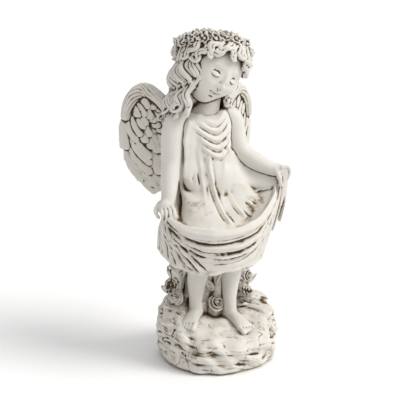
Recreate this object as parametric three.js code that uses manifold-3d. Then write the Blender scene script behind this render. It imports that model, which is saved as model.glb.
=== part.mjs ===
// A cherub garden statue: a winged child in a sleeveless dress who holds up the skirt like a basin,
// with a wreath of flowers, on a rocky mound. The whole work is one casting, so it is one mesh.
// Millimetres, +Z up. The figure faces -Y, its left hand is at +X. The origin is the middle of the
// underside of the mound.
import * as THREE from "three";
import { mergeVertices } from "three/addons/utils/BufferGeometryUtils.js";
import { SimplifyModifier } from "three/addons/modifiers/SimplifyModifier.js";
import Module from "manifold-3d";

const wasm = await Module();
wasm.setup();

// ---- Driving dimensions ----------------------------------------------------------------------------

const BODY = { x: -12, y: 7 }; // the upright line that the dress hangs around
const CHEST_YAW = 8; // degrees the chest is turned to the figure's left
const HEAD = { at: [-3, 0, 370], roll: 23, crownRoll: 9, pitch: 12, yaw: 2 }; // leaning left, looking down
const SKULL = [36, 40, 41]; // half width, half depth and half height
const MOUND = { radius: 76, top: 52 };
const HAND = { right: [-77, -19, 205], left: [74, -31, 231] };
const SKIN_SIDES = 8;

const rad = THREE.MathUtils.degToRad;
const mix = THREE.MathUtils.lerp;
const smooth = THREE.MathUtils.smoothstep;
const V = (x, y, z) => new THREE.Vector3(x, y, z);

// ---- Building blocks -------------------------------------------------------------------------------

// A closed skin through rings of points that all have the same number of points.
function skin(rings, capStart, capEnd) {
  const sides = rings[0].length;
  const points = rings.flat();
  const faces = [];
  for (let i = 0; i + 1 < rings.length; i++) {
    for (let j = 0; j < sides; j++) {
      const a = i * sides + j;
      const b = i * sides + ((j + 1) % sides);
      faces.push([a, b, b + sides], [a, b + sides, a + sides]);
    }
  }
  const first = points.push(capStart) - 1;
  const last = points.push(capEnd) - 1;
  const end = (rings.length - 1) * sides;
  for (let j = 0; j < sides; j++) {
    const k = (j + 1) % sides;
    faces.push([first, k, j], [last, end + j, end + k]);
  }
  return new THREE.BufferGeometry().setFromPoints(points).setIndex(faces.flat());
}

// A limb, lock, fold or feather: an oval section of half sizes a and b that follows a smooth line.
// A station is [x, y, z, a, b], and `side` is the direction that the half size a lies along.
function limb(stations, { sides = SKIN_SIDES, steps = 6, side = V(1, 0, 0), bulge = 0.5 } = {}) {
  const line = new THREE.CatmullRomCurve3(stations.map((s) => V(s[0], s[1], s[2])));
  const size = new THREE.CatmullRomCurve3(stations.map((s) => V(s[3], s[4] ?? s[3], 0)));
  const rings = [];
  for (let i = 0; i <= steps; i++) {
    const t = i / steps;
    const at = line.getPoint(t);
    const along = line.getTangent(t);
    const half = size.getPoint(t);
    const wide = side.clone().addScaledVector(along, -side.dot(along)).normalize();
    const deep = along.clone().cross(wide);
    rings.push(
      Array.from({ length: sides }, (_, j) => {
        const turn = (2 * Math.PI * j) / sides;
        const p = at.clone().addScaledVector(wide, Math.cos(turn) * half.x);
        return p.addScaledVector(deep, Math.sin(turn) * half.y);
      }),
    );
  }
  const ends = [0, 1].map((t) => {
    const half = size.getPoint(t);
    const out = Math.min(half.x, half.y) * bulge * (t ? 1 : -1);
    return line.getPoint(t).addScaledVector(line.getTangent(t), out);
  });
  return skin(rings, ends[0], ends[1]);
}

// A closed sheet between two grids of points: `front` faces outward and `back` lies behind it.
function slab(front, back) {
  const rows = front.length;
  const cols = front[0].length;
  const points = [...front.flat(), ...back.flat()];
  const at = (i, j, side) => side * rows * cols + i * cols + j;
  const faces = [];
  const quad = (a, b, c, d) => faces.push([a, b, c], [a, c, d]);
  for (let i = 0; i + 1 < rows; i++) {
    for (let j = 0; j + 1 < cols; j++) {
      quad(at(i, j, 0), at(i, j + 1, 0), at(i + 1, j + 1, 0), at(i + 1, j, 0));
      quad(at(i, j, 1), at(i + 1, j, 1), at(i + 1, j + 1, 1), at(i, j + 1, 1));
    }
    quad(at(i, 0, 1), at(i, 0, 0), at(i + 1, 0, 0), at(i + 1, 0, 1));
    quad(at(i, cols - 1, 0), at(i, cols - 1, 1), at(i + 1, cols - 1, 1), at(i + 1, cols - 1, 0));
  }
  for (let j = 0; j + 1 < cols; j++) {
    quad(at(0, j, 1), at(0, j + 1, 1), at(0, j + 1, 0), at(0, j, 0));
    quad(at(rows - 1, j, 0), at(rows - 1, j + 1, 0), at(rows - 1, j + 1, 1), at(rows - 1, j, 1));
  }
  return new THREE.BufferGeometry().setFromPoints(points).setIndex(faces.flat());
}

// An oval ball with half sizes r, turned by Euler degrees.
function ball(at, r, { turn = [0, 0, 0], wide = 8, high = 6 } = {}) {
  const g = new THREE.SphereGeometry(1, wide, high).rotateX(Math.PI / 2).scale(r[0], r[1], r[2]);
  g.applyMatrix4(new THREE.Matrix4().makeRotationFromEuler(new THREE.Euler(...turn.map(rad))));
  return g.translate(...at);
}

// The turn that takes +Z to `normal`, at a place.
function facing(at, normal, spin = 0) {
  const q = new THREE.Quaternion().setFromUnitVectors(V(0, 0, 1), normal.clone().normalize());
  q.multiply(new THREE.Quaternion().setFromAxisAngle(V(0, 0, 1), spin));
  return new THREE.Matrix4().compose(at, q, V(1, 1, 1));
}

// A flower of `petals` lobes, lying in its own XY plane: a notched ring between a raised heart and a back.
function flower(radius, { petals = 5, depth = 0.45, heart = 0.5 } = {}) {
  const ring = Array.from({ length: petals * 2 }, (_, i) => {
    const turn = (Math.PI * i) / petals;
    const r = radius * (i % 2 ? 0.62 : 1);
    return V(Math.cos(turn) * r, Math.sin(turn) * r, radius * (i % 2 ? -0.05 : 0.22));
  });
  return skin([ring], V(0, 0, -radius * depth), V(0, 0, radius * heart * 0.2));
}

// A leaf or petal with a raised midrib, lying along +X in its own XY plane.
function leaf(length, width, depth) {
  const ring = [V(-0.2, 0, 0), V(0.3, -0.5, 0), V(1, 0, 0.35), V(0.3, 0.5, 0)].map((p) =>
    V(p.x * length, p.y * width, p.z * depth),
  );
  return skin([ring], V(0.3 * length, 0, -depth), V(0.35 * length, 0, depth * 0.8));
}

// A smooth closed curve over the compass of angles, through keys of [degrees, radius, height].
function compass(keys) {
  return (degrees) => {
    const n = keys.length;
    const turn = ((((degrees - keys[0][0]) % 360) + 360) % 360) + keys[0][0];
    let i = keys.findIndex((k) => k[0] > turn) - 1;
    if (i < 0) i = n - 1;
    const key = (j) => {
      const k = keys[((j % n) + n) % n];
      return [k[0] + 360 * Math.floor(j / n), k[1], k[2]];
    };
    const [p, a, b, q] = [key(i - 1), key(i), key(i + 1), key(i + 2)];
    const h = b[0] - a[0];
    const t = (turn - a[0]) / h;
    return [1, 2].map((c) => {
      const sa = ((b[c] - p[c]) / (b[0] - p[0])) * h;
      const sb = ((q[c] - a[c]) / (q[0] - a[0])) * h;
      const t2 = t * t;
      const t3 = t2 * t;
      const starts = (2 * t3 - 3 * t2 + 1) * a[c] + (t3 - 2 * t2 + t) * sa;
      return starts + (3 * t2 - 2 * t3) * b[c] + (t3 - t2) * sb;
    });
  };
}

// A merged, closed mesh as a solid that can be joined.
function solid(geometry) {
  const bare = new THREE.BufferGeometry()
    .setAttribute("position", geometry.getAttribute("position"))
    .setIndex(geometry.index);
  const g = mergeVertices(bare, 1e-3);
  return new wasm.Manifold(
    new wasm.Mesh({
      numProp: 3,
      vertProperties: new Float32Array(g.attributes.position.array),
      triVerts: new Uint32Array(g.index.array),
    }),
  );
}

function place(geometry, matrix) {
  return geometry.applyMatrix4(matrix);
}

// ---- The dress -------------------------------------------------------------------------------------

// The turned-up edge of the skirt: low in front, up to both hands, and back to the waist.
const rim = compass([
  [-180, 33, 226], [-130, 34, 226], [-108, 35, 228], [-95, 40, 226], [-82, 56, 213], [-70, 66, 203],
  [-55, 74, 196], [-35, 80, 190.5], [-15, 84, 188.5], [5, 85, 190], [25, 84, 197], [42, 84, 208],
  [55, 87, 219], [64, 84, 226], [76, 66, 231], [90, 46, 234], [105, 36, 232], [130, 34, 228],
]);
const hem = compass([
  [-180, 51, 141], [-130, 52, 142], [-100, 60, 145], [-82, 66, 147], [-65, 69, 140], [-45, 72, 134],
  [-27, 72, 129.5], [-10, 72, 131], [10, 72, 133], [30, 72, 134], [48, 71, 135], [60, 68, 137],
  [75, 60, 140], [95, 54, 141], [130, 52, 141],
]);

// How far down the skirt's front the swags reach: widest in front, drawn together at the hands.
function swagReach(degrees) {
  const off = Math.min(1, Math.abs(degrees + 8) / 74);
  return 0.1 + 0.72 * Math.sqrt(Math.max(0, 1 - off * off));
}

// The rolls and creases below the rim: [share of the swags' reach, how far it stands out].
const SWAGS = [
  [0.18, 3.5], [0.34, 1], [0.41, -4], [0.53, 2.5], [0.65, 0], [0.7, -5], [0.79, 0], [0.88, -4.5],
];

const oval = (degrees, a, b) => {
  const t = rad(degrees - CHEST_YAW);
  return (a * b) / Math.hypot(b * Math.sin(t), a * Math.cos(t));
};

// The torso under the cloth as [half width, half depth, height], and the loose cloth beside the right arm.
const TORSO = [[27, 16, 317], [34, 22, 304], [33, 25, 285], [32, 25, 262], [32, 26, 244]];
const DRAPE = { at: -62, out: 9 };

// How far the torso's cloth stands out at an angle and a height.
function dressAt(degrees, z) {
  const i = Math.max(1, TORSO.findIndex((row) => row[2] <= z));
  const t = THREE.MathUtils.clamp((TORSO[i - 1][2] - z) / (TORSO[i - 1][2] - TORSO[i][2]), 0, 1);
  return oval(degrees, mix(TORSO[i - 1][0], TORSO[i][0], t), mix(TORSO[i - 1][1], TORSO[i][1], t));
}

// The dress's outline at one angle around the body, from the neck down to the inside of the hem.
function dressProfile(degrees) {
  const [rimR, rimZ] = rim(degrees);
  const [hemR, hemZ] = hem(degrees);
  const pouch = smooth(rimR, 35, 70);
  const front = Math.cos(rad(degrees));
  const drape = DRAPE.out * Math.exp(-(((degrees - DRAPE.at) / 13) ** 2));
  const torso = TORSO.slice(1, 5).map(([a, b, z], i) => [
    oval(degrees, a, b) + drape * (0.7 + 0.1 * i),
    z - 4 * pouch * (i > 2),
  ]);
  const rows = [
    [oval(degrees, ...TORSO[0]), TORSO[0][2] - 5 * smooth(front, 0.2, 1)],
    ...torso,
    [oval(degrees, 33, 27), mix(242, 222, pouch)],
    [oval(degrees, 34, 28) + 5 * pouch, rimZ + 2 + 16 * pouch],
    [mix(oval(degrees, 34, 29), rimR - 22, pouch), rimZ + 1 - 10 * pouch],
    [mix(oval(degrees, 35, 30), rimR - 5, pouch), rimZ - 5 * pouch],
    [Math.max(rimR, oval(degrees, 36, 31)), rimZ],
  ];
  const edgeR = rows.at(-1)[0];
  const reach = swagReach(degrees);
  for (const [share, out] of SWAGS) {
    const down = share * reach;
    const fullness = 4 * down * (1 - down) * 4 * pouch;
    rows.push([mix(edgeR, hemR, down) + out * pouch * reach + fullness, mix(rimZ, hemZ, down)]);
  }
  for (const share of [0.35, 0.7, 1]) {
    const down = mix(reach, 1, share);
    rows.push([mix(edgeR, hemR, down) + (1 - share) * 2, mix(rimZ, hemZ, down)]);
  }
  rows.push([hemR - 5, hemZ + 0.5]);
  rows.push([hemR * 0.7, hemZ + 6]);
  return rows;
}

const onBody = (degrees, r, z) =>
  V(BODY.x + r * Math.sin(rad(degrees)), BODY.y - r * Math.cos(rad(degrees)), z);

function dress() {
  const angles = [];
  for (let a = -180; a < 180; a += Math.abs(a + 5) < 105 ? 8 : 15) {
    angles.push(a);
  }
  const profiles = angles.map(dressProfile);
  const rings = profiles[0].map((_, row) =>
    angles.map((a, i) => onBody(a, ...profiles[i][row])).reverse(),
  );
  return skin(rings, V(BODY.x, BODY.y, 306), V(BODY.x, BODY.y, 142));
}

// The cowl: folds that hang in a U from the shoulders: [height of the ends, of the bottom, turn].
const COWL = [[320, 304, 4], [314, 295, 7], [303, 284, 10], [292, 273.5, 13], [281, 263, 17]];

function cowlFold([top, bottom, turn], index) {
  const stations = [-1, -0.75, -0.4, 0, 0.4, 0.75, 1].map((u) => {
    const degrees = turn + u * (70 - 3 * index);
    const z = mix(bottom, top, Math.abs(u) ** 1.5);
    const size = 3.4 * (1 - 0.5 * u * u);
    const p = onBody(degrees, dressAt(degrees, z) - 1, z);
    return [p.x, p.y, p.z, size, size];
  });
  return limb(stations, { sides: 4, steps: 8, side: V(0, 0, 1) });
}

// A long fold laid on the dress: keys are [degrees, how far out, height, half width].
function laidFold(keys) {
  const stations = keys.map(([degrees, r, z, size]) => {
    const p = onBody(degrees, r - 1.2, z);
    return [p.x, p.y, p.z, size, size * 0.8];
  });
  return limb(stations, { sides: 4, steps: 2 * keys.length - 1, side: V(1, 0, 0) });
}

// Folds that run from the shoulders to the middle of the belly and down into the basin.
const FLOWS = [
  [[-58, 33, 312, 2.6], [-62, 39, 288, 3], [-63, 41, 260, 3.2], [-65, 43, 234, 4], [-68, 50, 214, 4]],
  [[-34, 24, 296, 2], [-42, 27, 275, 2.6], [-38, 27, 250, 3], [-30, 29, 226, 3.2], [-22, 44, 200, 3]],
  [[-14, 25, 276, 2.2], [-16, 26, 255, 2.8], [-8, 27, 235, 3], [2, 29, 212, 3.6], [8, 46, 190, 3]],
  [[32, 25, 275, 2.2], [30, 26, 252, 2.8], [22, 28, 230, 3], [14, 31, 208, 3.4]],
  [[48, 28, 296, 2.4], [46, 29, 268, 3], [40, 30, 244, 3], [34, 33, 218, 3.4], [30, 50, 198, 3]],
];

// Rolls of the skirt's back edge that are drawn up from the left hip to the left hand.
const BACK_ROLLS = [
  [[26, 6, 268, 5], [34, 0, 250, 6], [50, -12, 236, 6], [66, -24, 234, 4]],
  [[24, -6, 246, 5], [38, -10, 230, 6], [56, -22, 222, 6], [70, -30, 228, 4]],
];

// Cloth that hangs from the left hand in narrow folds.
const CASCADE = [
  [[73, -33, 232, 4], [72, -28, 205, 6], [66, -26, 182, 7], [62, -24, 164, 5]],
  [[77, -28, 230, 4], [75, -20, 206, 6], [70, -14, 186, 6.5], [64, -12, 170, 4]],
];

function dressFolds() {
  const loose = (keys) => limb(keys, { sides: 5, steps: 5, side: V(0.4, 0.9, 0) });
  const laid = FLOWS.map((keys) => laidFold(keys));
  return [...COWL.map(cowlFold), ...laid, ...[...BACK_ROLLS, ...CASCADE].map(loose)];
}

// Pleats that fan out from a hand down to the hem.
function pleats(hand, degreesList, start) {
  return degreesList.map((degrees, i) => {
    const [r, z] = hem(degrees);
    const foot = onBody(degrees, r - 1.5, z + 3);
    const top = V(...hand);
    const mid = top.clone().lerp(foot, 0.5).add(V(0, 0, 3));
    const out = mid.clone().sub(V(BODY.x, BODY.y, mid.z)).normalize();
    mid.addScaledVector(out, start);
    return limb(
      [
        [top.x, top.y, top.z - 6, 2.6, 2.6],
        [mid.x, mid.y, mid.z, 4, 4],
        [foot.x, foot.y, foot.z, 5.2, 4.2],
      ],
      { sides: 5, steps: 4, side: V(1, 0, 0), bulge: 0.1 },
    );
  });
}

const allPleats = () => [
  ...pleats(HAND.right, [-88, -74, -60, -46], 2),
  ...pleats(HAND.left, [44, 56], 3),
];

// ---- Skin ------------------------------------------------------------------------------------------

function neckAndChest() {
  const keys = [
    [-13, 9, 290, 26, 17], [-12, 8, 308, 25, 15], [-9, 6, 319, 15, 13],
    [-6, 4, 332, 12.5, 12], [-3, 2, 350, 13, 13],
  ];
  return limb(keys, { sides: 10, steps: 6 });
}

function arms() {
  const right = [
    [-46, 3, 311, 10, 10], [-55, 2, 303, 13.5, 13], [-59, 2, 280, 13.5, 13.5], [-60, 2, 258, 12.4, 12.6],
    [-65, -4, 236, 10.8, 11.5], [-69, -10, 216, 8.8, 9.4], [-73, -14, 209, 8.6, 7.5],
  ];
  const left = [
    [18, 14, 311, 10, 10], [26, 12, 303, 12.5, 13], [30, 9, 282, 12, 12.5], [35, 3, 263, 11.5, 12],
    [48, -11, 251, 10.5, 11], [61, -22, 244, 8.8, 9.2], [67, -27, 241, 8.2, 7.6],
  ];
  return [limb(right, { steps: 9 }), limb(left, { steps: 9, side: V(0.4, 0.9, 0) })];
}

// A finger from its knuckle through two bends.
function finger(points, r) {
  const keys = points.map((p, i) => [...p, r * (1 - 0.1 * i)]);
  return limb(keys, { sides: 5, steps: 3, side: V(0.3, 1, 0), bulge: 0.7 });
}

function hands() {
  const parts = [];
  parts.push(ball([-76, -16, 205], [8.5, 6.5, 8.5], { turn: [10, 0, -20] }));
  for (let i = 0; i < 4; i++) {
    const x = -82 + i * 4.2;
    const y = -16 - i * 2.6;
    parts.push(finger([[x, y - 2, 207], [x - 0.5, y - 6, 200], [x, y - 4, 192 + Math.abs(i - 1.4)]], 2.7));
  }
  parts.push(finger([[-83, -10, 208], [-88, -12, 202], [-85, -16, 195]], 3));
  parts.push(ball([71, -30, 239], [8, 7.5, 6], { turn: [0, 20, -35] }));
  for (let i = 0; i < 4; i++) {
    const x = 72 + i * 2.8;
    const y = -38 + i * 3.6;
    parts.push(finger([[x, y, 241], [x + 4.5, y - 2, 236], [x + 4, y - 1, 228]], 2.6));
  }
  parts.push(finger([[66, -35, 238], [67, -39, 231], [70, -40, 224]], 3));
  return parts;
}

function legsAndFeet() {
  const foot = (ankle, toe, sole, outward) => {
    const parts = [];
    const dir = V(toe[0] - ankle[0], toe[1] - ankle[1], 0).normalize();
    const across = V(-dir.y * outward, dir.x * outward, 0);
    const heel = V(...ankle).addScaledVector(dir, -6);
    const ball3 = V(...toe).addScaledVector(dir, -5);
    parts.push(
      limb(
        [
          [heel.x, heel.y, sole[0] + 7, 8, 8],
          [(heel.x + ball3.x) / 2, (heel.y + ball3.y) / 2, (sole[0] + sole[1]) / 2 + 7, 8.5, 8],
          [ball3.x, ball3.y, sole[1] + 4.5, 11, 5],
        ],
        { sides: 8, steps: 4, side: across, bulge: 0.6 },
      ),
    );
    for (let i = 0; i < 5; i++) {
      const off = -8.5 + i * 4.3 + (i ? 0.8 : 0);
      const r = i ? 2.7 - 0.22 * i : 3.6;
      const reach = (i ? 9 : 10) - 1.3 * Math.max(0, i - 1);
      const base = ball3.clone().addScaledVector(across, off);
      const tip = base.clone().addScaledVector(dir, reach);
      parts.push(
        limb(
          [
            [base.x, base.y, sole[1] + 5, r],
            [(base.x + tip.x) / 2, (base.y + tip.y) / 2, sole[1] + 4, r],
            [tip.x, tip.y, sole[1] + 1.5, r * 0.95],
          ],
          { sides: 5, steps: 2, side: across, bulge: 0.8 },
        ),
      );
    }
    return parts;
  };
  const right = limb([[-26, -3, 150, 15, 15], [-27, -5, 122, 14, 14.5], [-31, -6, 101, 11.5, 12],
    [-32, -6, 84, 8.4, 9], [-32, -6, 66, 8.5, 9]], { steps: 6 });
  const left = limb([[13, -3, 150, 15, 15], [18, -6, 118, 12.8, 14], [16, -6, 98, 11, 11.5],
    [14, -8, 78, 8.6, 9], [14, -9, 58, 8.5, 9]], { steps: 6 });
  return [
    right,
    left,
    ...foot([-32, -6], [-53, -29], [56, 50], -1),
    ...foot([14, -9], [20, -47], [47, 41], 1),
  ];
}

// ---- Head, hair and wreath -------------------------------------------------------------------------

const headTurn = (roll) =>
  new THREE.Matrix4()
    .makeTranslation(...HEAD.at)
    .multiply(new THREE.Matrix4().makeRotationY(rad(roll)))
    .multiply(new THREE.Matrix4().makeRotationX(rad(HEAD.pitch)))
    .multiply(new THREE.Matrix4().makeRotationZ(rad(HEAD.yaw)));
const headMatrix = headTurn(HEAD.roll);
const crownMatrix = headTurn(HEAD.crownRoll);

// A child's head: a round skull that narrows to a small chin, with full cheeks.
function skullPoint(u, lat) {
  const [w, d, h] = SKULL;
  const around = rad(u);
  const up = rad(lat);
  let x = w * Math.sin(around) * Math.cos(up);
  let y = -d * Math.cos(around) * Math.cos(up);
  let z = h * Math.sin(up);
  const low = smooth(-z, 4, h);
  x *= 1 - 0.3 * low;
  if (y < 0) y *= 1 - 0.12 * low;
  else y *= 1 - 0.45 * low;
  if (y < 0) z -= 5 * low * smooth(-y, 0, d * 0.5);
  return V(x, y, z);
}

// The features as soft mounds and hollows on the front: [x, z, half width, half height, how far out].
// Those with x > 0 are mirrored.
const FEATURES = [
  [13.5, 3, 7.5, 5.5, -3.4], [13.5, -0.5, 5.4, 3.2, 4.2], [12, 9, 10, 3, 1.2], [0, 2, 2.6, 8, 2.6],
  [0, -8, 3, 5.5, 4.6], [0, -12, 3.4, 3, 4.6], [3.8, -13.6, 2, 1.8, 2.4], [17, -15, 9, 8, 3.2],
  [0, -22, 9, 6, 2.6], [0, -20.4, 4.6, 1.5, 1.8], [0, -24.4, 4, 1.7, 2.2], [0, -22.4, 7, 0.9, -1.8],
  [0, -28.5, 5.5, 2.2, -1.8], [0, -35, 7.5, 6, 4],
];

function relief(x, z) {
  let out = 0;
  for (const [fx, fz, w, h, amount] of FEATURES) {
    const side = fx > 0 ? Math.abs(x) - fx : x;
    out += amount * Math.exp(-((side / w) ** 2) - ((z - fz) / h) ** 2);
  }
  return out;
}

function face() {
  const columns = [0, 5, 10, 16, 23, 31, 43, 62, 90, 130, 180];
  const around = [...columns.slice(1, -1).map((a) => -a).reverse(), ...columns];
  const heights = [-76, -60, -48, -39, -33.5, -29.5, -26, -18, -10, -1, 8, 18, 34, 54, 74];
  const rings = heights.map((lat) =>
    around.map((u) => {
      const p = skullPoint(u, lat);
      if (p.y < 0) p.y -= relief(p.x, p.z) * smooth(-p.y, 0, 16);
      return p;
    }),
  );
  return [place(skin(rings, V(0, 0, -SKULL[2] - 2), V(0, 0, SKULL[2])), headMatrix)];
}

function hairCap() {
  const cap = ball([-3, 6, 5], [SKULL[0] + 4, SKULL[1] + 2, SKULL[2] + 2], { wide: 14, high: 9 });
  return place(cap, crownMatrix);
}

// The hair's middle line and how far it stands out from it, by height.
const hairAxis = (z) => {
  const t = (400 - z) / 90;
  return [mix(4, -24, t), mix(2, 9, t)];
};

// A wavy lock that falls round the head: from `top` to `bottom` height, at an angle around the head.
function lock(degrees, top, bottom, out, thick, waves, phase) {
  const stations = [];
  const n = 8;
  for (let i = 0; i <= n; i++) {
    const t = i / n;
    const z = mix(top, bottom, t);
    const [cx, cy] = hairAxis(z);
    const wave = Math.sin(2 * Math.PI * waves * t + phase);
    const lean = Math.cos(2 * Math.PI * waves * t + phase);
    const a = rad(degrees + 6 * wave * Math.min(1, 3 * t));
    const r = out * (0.86 + 0.2 * Math.sin(Math.PI * Math.min(1, t * 1.1))) + 2.5 * lean;
    const size = thick * (0.78 + 0.5 * Math.sin(Math.PI * Math.min(0.9, t + 0.08)));
    stations.push([cx + r * Math.sin(a), cy - r * Math.cos(a), z, size, size * 0.8]);
  }
  const side = V(Math.cos(rad(degrees)), Math.sin(rad(degrees)), 0);
  return limb(stations, { sides: 5, steps: 12, side, bulge: 1 });
}

function hair() {
  const parts = [hairCap()];
  const right = [-50, -66, -83, -100, -117];
  right.forEach((a, i) => parts.push(lock(a, 390, 316 - 3 * i, 42, 7.4, 2.1, 0.5 + 1.9 * i)));
  const left = [60, 78, 96, 116];
  left.forEach((a, i) => parts.push(lock(a, 382, 321 - 4 * i, 31, 6, 2.1, 2 + 1.7 * i)));
  const back = [-136, -156, -176, 164, 141];
  back.forEach((a, i) => parts.push(lock(a, 390, 300, 44, 9.5, 1.9, 1.4 * i)));
  return parts;
}

function bangs() {
  const parts = [];
  for (let i = 0; i < 8; i++) {
    const a = rad(-62 + 112 * (i / 7));
    const dir = i % 2 ? 1 : -1;
    const low = Math.abs(i - 3.5);
    const point = (turn, lift, out) => [
      (SKULL[0] + out) * Math.sin(a + turn),
      -(SKULL[1] + out) * Math.cos(a + turn) * 0.98,
      lift,
    ];
    const stations = [
      [...point(0, 33, -7), 5, 4],
      [...point(0.08 * dir, 26.5, -2), 5, 4],
      [...point(-0.06 * dir, 20 - low * 2.4, 0.6), 4, 3.4],
      [...point(0.1 * dir, 16.5 - low * 3, 0.2), 2.4, 2.2],
    ];
    const side = V(Math.cos(a), Math.sin(a), 0);
    parts.push(place(limb(stations, { sides: 5, steps: 4, side }), headMatrix));
  }
  return parts;
}

// The wreath: a band that lies lower at the back, covered with flowers and leaves.
const WREATH = { at: [-5, 12, 15], half: [41, 40], tilt: 41, tube: 7.5, flowers: 17 };

function onWreath(degrees, around, lift) {
  const a = rad(degrees);
  const b = rad(around);
  const r = WREATH.tube + lift;
  const out = V(Math.sin(a), -Math.cos(a), 0);
  const p = V(out.x * WREATH.half[0], out.y * WREATH.half[1], 0);
  p.addScaledVector(out, r * Math.cos(b)).add(V(0, 0, r * Math.sin(b)));
  const normal = out.multiplyScalar(Math.cos(b)).add(V(0, 0, Math.sin(b)));
  const turn = new THREE.Matrix4().makeTranslation(...WREATH.at).multiply(
    new THREE.Matrix4().makeRotationX(-rad(WREATH.tilt)),
  );
  return [p.applyMatrix4(turn), normal.transformDirection(turn)];
}

function wreath() {
  const parts = [];
  const band = [];
  for (let i = 0; i <= 20; i++) {
    band.push(Array.from({ length: 6 }, (_, j) => onWreath(i * 18, 60 * j, 0)[0]).reverse());
  }
  const half = [band.slice(0, 11), band.slice(10, 21)];
  for (const rings of half) {
    const middle = (ring) => ring.reduce((sum, p) => sum.add(p), V(0, 0, 0)).divideScalar(6);
    parts.push(skin(rings.map((r) => r.map((p) => p.clone())), middle(rings[0]), middle(rings.at(-1))));
  }
  for (let i = 0; i < WREATH.flowers; i++) {
    for (const row of [0, 1]) {
      const degrees = (360 * (i + 0.5 * row)) / WREATH.flowers;
      const [at, normal] = onWreath(degrees, row ? 62 : -2, 1.2);
      parts.push(place(flower(7.4 - 0.6 * row), facing(at, normal, i * 1.3 + row)));
    }
    const [at, normal] = onWreath((360 * (i + 0.25)) / WREATH.flowers, i % 2 ? 100 : -48, -1.5);
    if (i % 2) parts.push(place(leaf(10, 8, 3), facing(at, normal, i * 2.1)));
  }
  return parts.map((g) => place(g, crownMatrix));
}

// ---- Wings -----------------------------------------------------------------------------------------

// A wing is laid out on a gently curved sheet: s runs outward from the shoulder blade and z upward.
const WINGS = [
  { root: [-18, 27], tip: [-90, 78], rise: 0 },
  { root: [2, 27], tip: [80, 76], rise: -6 },
];
const WING_SPAN = 92;

function onWing(wing, s, z, lift = 0) {
  const t = s / WING_SPAN;
  const dx = wing.tip[0] - wing.root[0];
  const dy = wing.tip[1] - wing.root[1];
  const length = Math.hypot(dx, dy);
  const bow = 7 * Math.sin(Math.PI * Math.min(1, Math.max(0, t)));
  const nx = (dy / length) * Math.sign(dx) * -1;
  const ny = Math.abs(dx) / length;
  const px = wing.root[0] + dx * t;
  const py = wing.root[1] + dy * t;
  return V(px - nx * (bow + lift), py + ny * (bow + lift), z + wing.rise);
}

// The wing's arm, from the shoulder blade over the top to the outer edge: [s, z, half thickness].
const ARM = [
  [2, 284, 8], [18, 300, 8.5], [42, 328, 8.6], [60, 337, 9], [76, 330, 8.6], [88, 311, 7.6], [92, 290, 5.5],
];
const armLine = new THREE.CatmullRomCurve3(ARM.map(([s, z]) => V(s, z, 0)));

// Where the quills start along the arm, and where the longest feathers end.
const quill = (t) => armLine.getPointAt(mix(0.04, 0.96, t)).toArray();
const feathertip = (t) => {
  const a = rad(mix(250, 372, t));
  return [46 + 44 * Math.cos(a), 266 + 57 * Math.sin(a)];
};

// One row of overlapping feathers as a sheet: each feather is a raised strip with a blunt, round tip.
// `valley` is the height between two feathers.
const STRIP = [[0, -0.13, 0], [0.3, 0, 1], [0.7, -0.015, 0.92]]; // [place, reach, ridge] across it

function featherRow(w, { count, start, reach, thick, valley, offset }) {
  const columns = [];
  for (let i = 0; i < count; i++) {
    columns.push(...STRIP.map(([x, back, ridge]) => [i + x, back, ridge]));
  }
  columns.push([count, ...STRIP[0].slice(1)]);
  const grid = (side) =>
    [0, 0.6, 0.92, 1].map((u, row) =>
      columns.map(([x, back, ridge]) => {
        const t = THREE.MathUtils.clamp((x + offset) / count, 0, 1);
        const from = quill(t);
        const end = feathertip(t);
        const along = mix(start, reach + back, u);
        const bow = 18 * along * (1 - along) * (0.3 + t);
        const s = mix(from[0], end[0], along) + bow;
        const z = mix(from[1], end[1], along);
        return onWing(w, s, z, side * mix(valley, thick, ridge) * (row === 3 ? 0.4 : 1));
      }),
    );
  const [front, back] = w.tip[0] < 0 ? [grid(-1), grid(1)] : [grid(1), grid(-1)];
  return slab(front, back);
}

function wing(w) {
  const parts = [
    featherRow(w, { count: 8, start: 0.05, reach: 1, thick: 3.2, valley: 1.8, offset: 0 }),
    featherRow(w, { count: 7, start: 0.04, reach: 0.77, thick: 5.4, valley: 3.5, offset: 0.4 }),
    featherRow(w, { count: 7, start: 0.03, reach: 0.53, thick: 7.6, valley: 5.7, offset: 0 }),
    featherRow(w, { count: 6, start: 0.02, reach: 0.31, thick: 9.6, valley: 7.8, offset: 0.4 }),
  ];
  const stations = ARM.map(([s, z, r]) => {
    const p = onWing(w, s, z);
    return [p.x, p.y, p.z, r, r];
  });
  parts.push(limb(stations, { sides: 6, steps: 10 }));
  return parts;
}

// ---- Mound and what grows on it --------------------------------------------------------------------

const rockNoise = (x, y, z) =>
  Math.sin(x * 0.11 + 1.3) * Math.cos(y * 0.13 + z * 0.07) +
  0.6 * Math.sin(x * 0.21 - y * 0.17 + z * 0.19 + 2) +
  0.4 * Math.cos(x * 0.05 + y * 0.31 - z * 0.27);

// How high the mound's shoulder rises round the compass, and its profile as [share of radius, of height].
const shoulder = compass([
  [-180, 1, 80], [-95, 1, 76], [-68, 1, 60], [-35, 1, 50], [0, 1, 44], [30, 1, 45], [60, 1, 56], [95, 1, 70],
]);
const PROFILE = [[0.9, 0], [0.97, 0.1], [1, 0.3], [1, 0.52], [0.97, 0.76], [0.87, 0.93], [0.62, 1], [0.3, 1]];

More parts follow.
